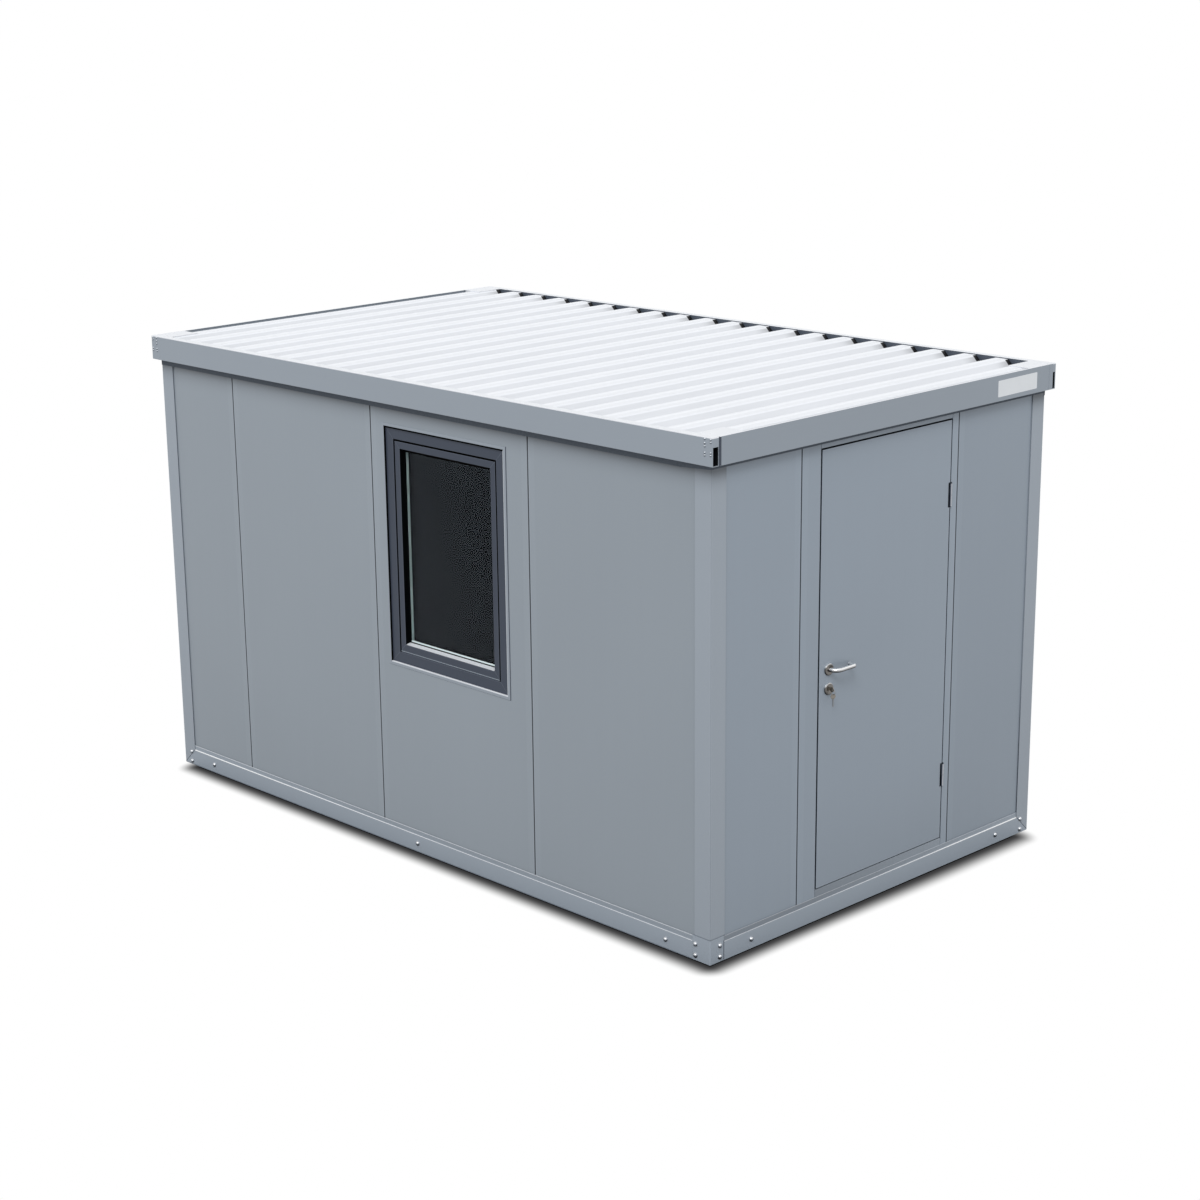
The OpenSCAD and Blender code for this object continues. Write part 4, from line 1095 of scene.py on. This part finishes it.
def key_blade(length, wide):
    """A blade along -Z with cut notches in one edge and a pointed tip."""
    bm = bmesh.new()
    bmesh.ops.create_grid(bm, x_segments=len(NOTCHES) - 1, y_segments=1, size=0.5)
    bmesh.ops.scale(bm, vec=(length, wide, 1), verts=bm.verts)
    shifted(bm, (length / 2 - hole_r, 0, 0))
    for v, notch in zip(sorted([v for v in bm.verts if v.co.y < 0], key=lambda v: v.co.x), NOTCHES):
        v.co.y += notch * MM
    max([v for v in bm.verts if v.co.y > 0], key=lambda v: v.co.x).co.y -= 3.2 * MM
    raised(bm, bm.faces[:], (0, 0, key_t * 0.8))
    shifted(bm, (0, 0, -key_t * 0.4))
    swivelled(bm, pi / 2, "Y")
    return bm


lock.add(key_bow(), moved(leaf_high.x + lock_proud, spindle.y, lock_z) @ outwards)
hook_x = leaf_high.x + lock_proud + hole_up
wire = bmesh.new()
bmesh.ops.create_circle(wire, segments=12, radius=wire_r)
shifted(wire, (ring_r, 0, 0))
swivelled(wire, pi / 2, "X")
bmesh.ops.spin(wire, geom=wire.edges[:] + wire.verts[:], cent=(0, 0, 0), axis=(0, 0, 1), angle=2 * pi,
               steps=40, use_merge=True, use_duplicate=False)
swivelled(wire, pi / 2, "X")
lock.add(wire, moved(hook_x, spindle.y, lock_z - ring_r - sag))
low_key = moved(hook_x, spindle.y, lock_z - 2 * (ring_r + sag) - hole_up) @ turned(radians(60))
lock.add(key_bow(), low_key)
lock.add(key_blade(38 * MM + hole_r, 8 * MM), low_key)
lock.done(30)

# seals on the door stops
stop_low, stop_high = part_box("door_head")
seal_t, seal_w, seal_in = 3.5 * MM, 9 * MM, 6 * MM
stop_face = stop_low.x + STOP_THICK
seal_left, seal_right, seal_top = stop_low.y + seal_in, stop_high.y - seal_in, stop_low.z + STOP_LAP - seal_in
seal_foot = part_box("door_threshold")[1].z - STOP_LAP
door_seals = Piece("door_stop_seals", seal_coat, "wall_panel")
for left, foot, right, top in (
        (seal_left, seal_foot + 14 * MM, seal_left + seal_w, seal_top),
        (seal_right - seal_w, seal_foot + 14 * MM, seal_right, seal_top),
        (seal_left + seal_w, seal_top - seal_w, seal_right - seal_w, seal_top),
        (seal_left + seal_w, seal_foot + 5 * MM, seal_right - seal_w, seal_foot + 14 * MM)):
    door_seals.block((stop_face - 0.2 * MM, left, foot), (stop_face + seal_t, right, top), 1.4 * MM,
                     segments=2)
door_seals.done()

# latch plate in the leaf's edge and strike plate on the jamb
plate_t = 1.2 * MM
plate_steel = brushed("plate_stainless", paint(186, 188, 190), 0.24)
leaf_mid_x = (leaf_low.x + leaf_high.x) / 2
forend = Piece("latch_plate", plate_steel, "stainless", (), "door")
forend.block((leaf_mid_x - 10 * MM, leaf_low.y - plate_t, spindle.z - 160 * MM),
             (leaf_mid_x + 10 * MM, leaf_low.y + 0.5 * MM, spindle.z + 75 * MM), 0.4 * MM)
forend.block((leaf_mid_x - 6 * MM, leaf_low.y - 5 * MM, spindle.z - 10 * MM),
             (leaf_mid_x + 6 * MM, leaf_low.y, spindle.z + 8 * MM), 1.5 * MM, segments=2)
forend.done()
Piece("strike_plate", plate_steel, "stainless").block(
    (leaf_mid_x - 12 * MM, stop_low.y - 0.5 * MM, spindle.z - 130 * MM),
    (leaf_mid_x + 12 * MM, stop_low.y + plate_t, spindle.z + 50 * MM), 0.4 * MM).done()

# -------- studio

floor_half = 60
floor_mesh = bpy.data.meshes.new("studio_floor")
ground = bmesh.new()
bmesh.ops.create_grid(ground, x_segments=1, y_segments=1, size=floor_half)
ground.to_mesh(floor_mesh)
ground.free()
placed("studio_floor", floor_mesh)
f = new_finish("studio_floor")
# how far a spot of the floor lies from the base, and how open it is to the light: the floor's shadow is painted by
# that distance, strong along the window side and the door end and faint past the other two, and the openness adds
# the real contact shade
x, y, lit_rim = f.along("X"), f.along("Y"), 0.14
past_end = (x - reach_x).least(lit_rim - reach_x - x).least(0.0) / f.ramp(y, -0.7, 0.5, 0.86, 1.02)
past_side = (-reach_y - y).least(y + lit_rim - reach_y).least(0.0) / 0.92
away = (past_side * past_side + past_end * past_end) ** 0.5
openness = f.node("ShaderNodeAmbientOcclusion", {"samples": 12}, {"Distance": 0.12}, outlet="AO")
contact = f.ramp(openness, 0.22, 0.45).most(f.ramp(away, 0.0, 0.150) ** 1.6)
darkest = f.mix(f.ramp(away, 0.003, 0.014), paint(12, 12, 13), paint(56, 56, 57))
shadowed = f.node("ShaderNodeEmission", inlets={
    "Color": f.mix(contact, darkest, (1, 1, 1, 1)), "Strength": 1.0})
bounce = f.node("ShaderNodeBsdfDiffuse", inlets={"Color": f.grey(f.ramp(away, 0.6, 4.0, 0.42, 0.82))})
f.node("ShaderNodeOutputMaterial", inlets={"Surface": f.node("ShaderNodeMixShader", inlets={
    0: f.looked_at(), 1: bounce, 2: shadowed})})
floor_mesh.materials.append(f.owner)

world = bpy.data.worlds.new("studio")
bpy.context.scene.world = world
f = Finish(world)
white = f.node("ShaderNodeBackground", inlets={"Color": (1, 1, 1, 1), "Strength": 1.0})
room_light = f.node("ShaderNodeBackground", inlets={"Color": (0.97, 0.985, 1, 1), "Strength": 0.74})
f.node("ShaderNodeOutputWorld", inlets={"Surface": f.node("ShaderNodeMixShader", inlets={
    0: f.looked_at(), 1: room_light, 2: white})})

key = bpy.data.lights.new("soft_key", "SUN")
key.energy = 1.3
key.angle = radians(20)
key_from = Vector((0.42, -0.56, 0.74))
placed("soft_key", key).rotation_euler = key_from.to_track_quat("Z", "Y").to_euler()

# -------- camera

lens = bpy.data.cameras.new("view")
lens.lens = 72.53
lens.sensor_width = 36
lens.shift_x, lens.shift_y = 0.0333, 0.0224
lens.clip_end = 200
camera = placed("view", lens)
eye, turn, tilt, roll = (8.7604, -8.4998, 4.4325), radians(46.472), radians(16.005), radians(-0.878)
camera.matrix_world = moved(*eye) @ turned(turn) @ turned(pi / 2 - tilt, "X") @ turned(roll)
bpy.context.scene.camera = camera
bpy.context.scene.view_settings.view_transform = "Standard"
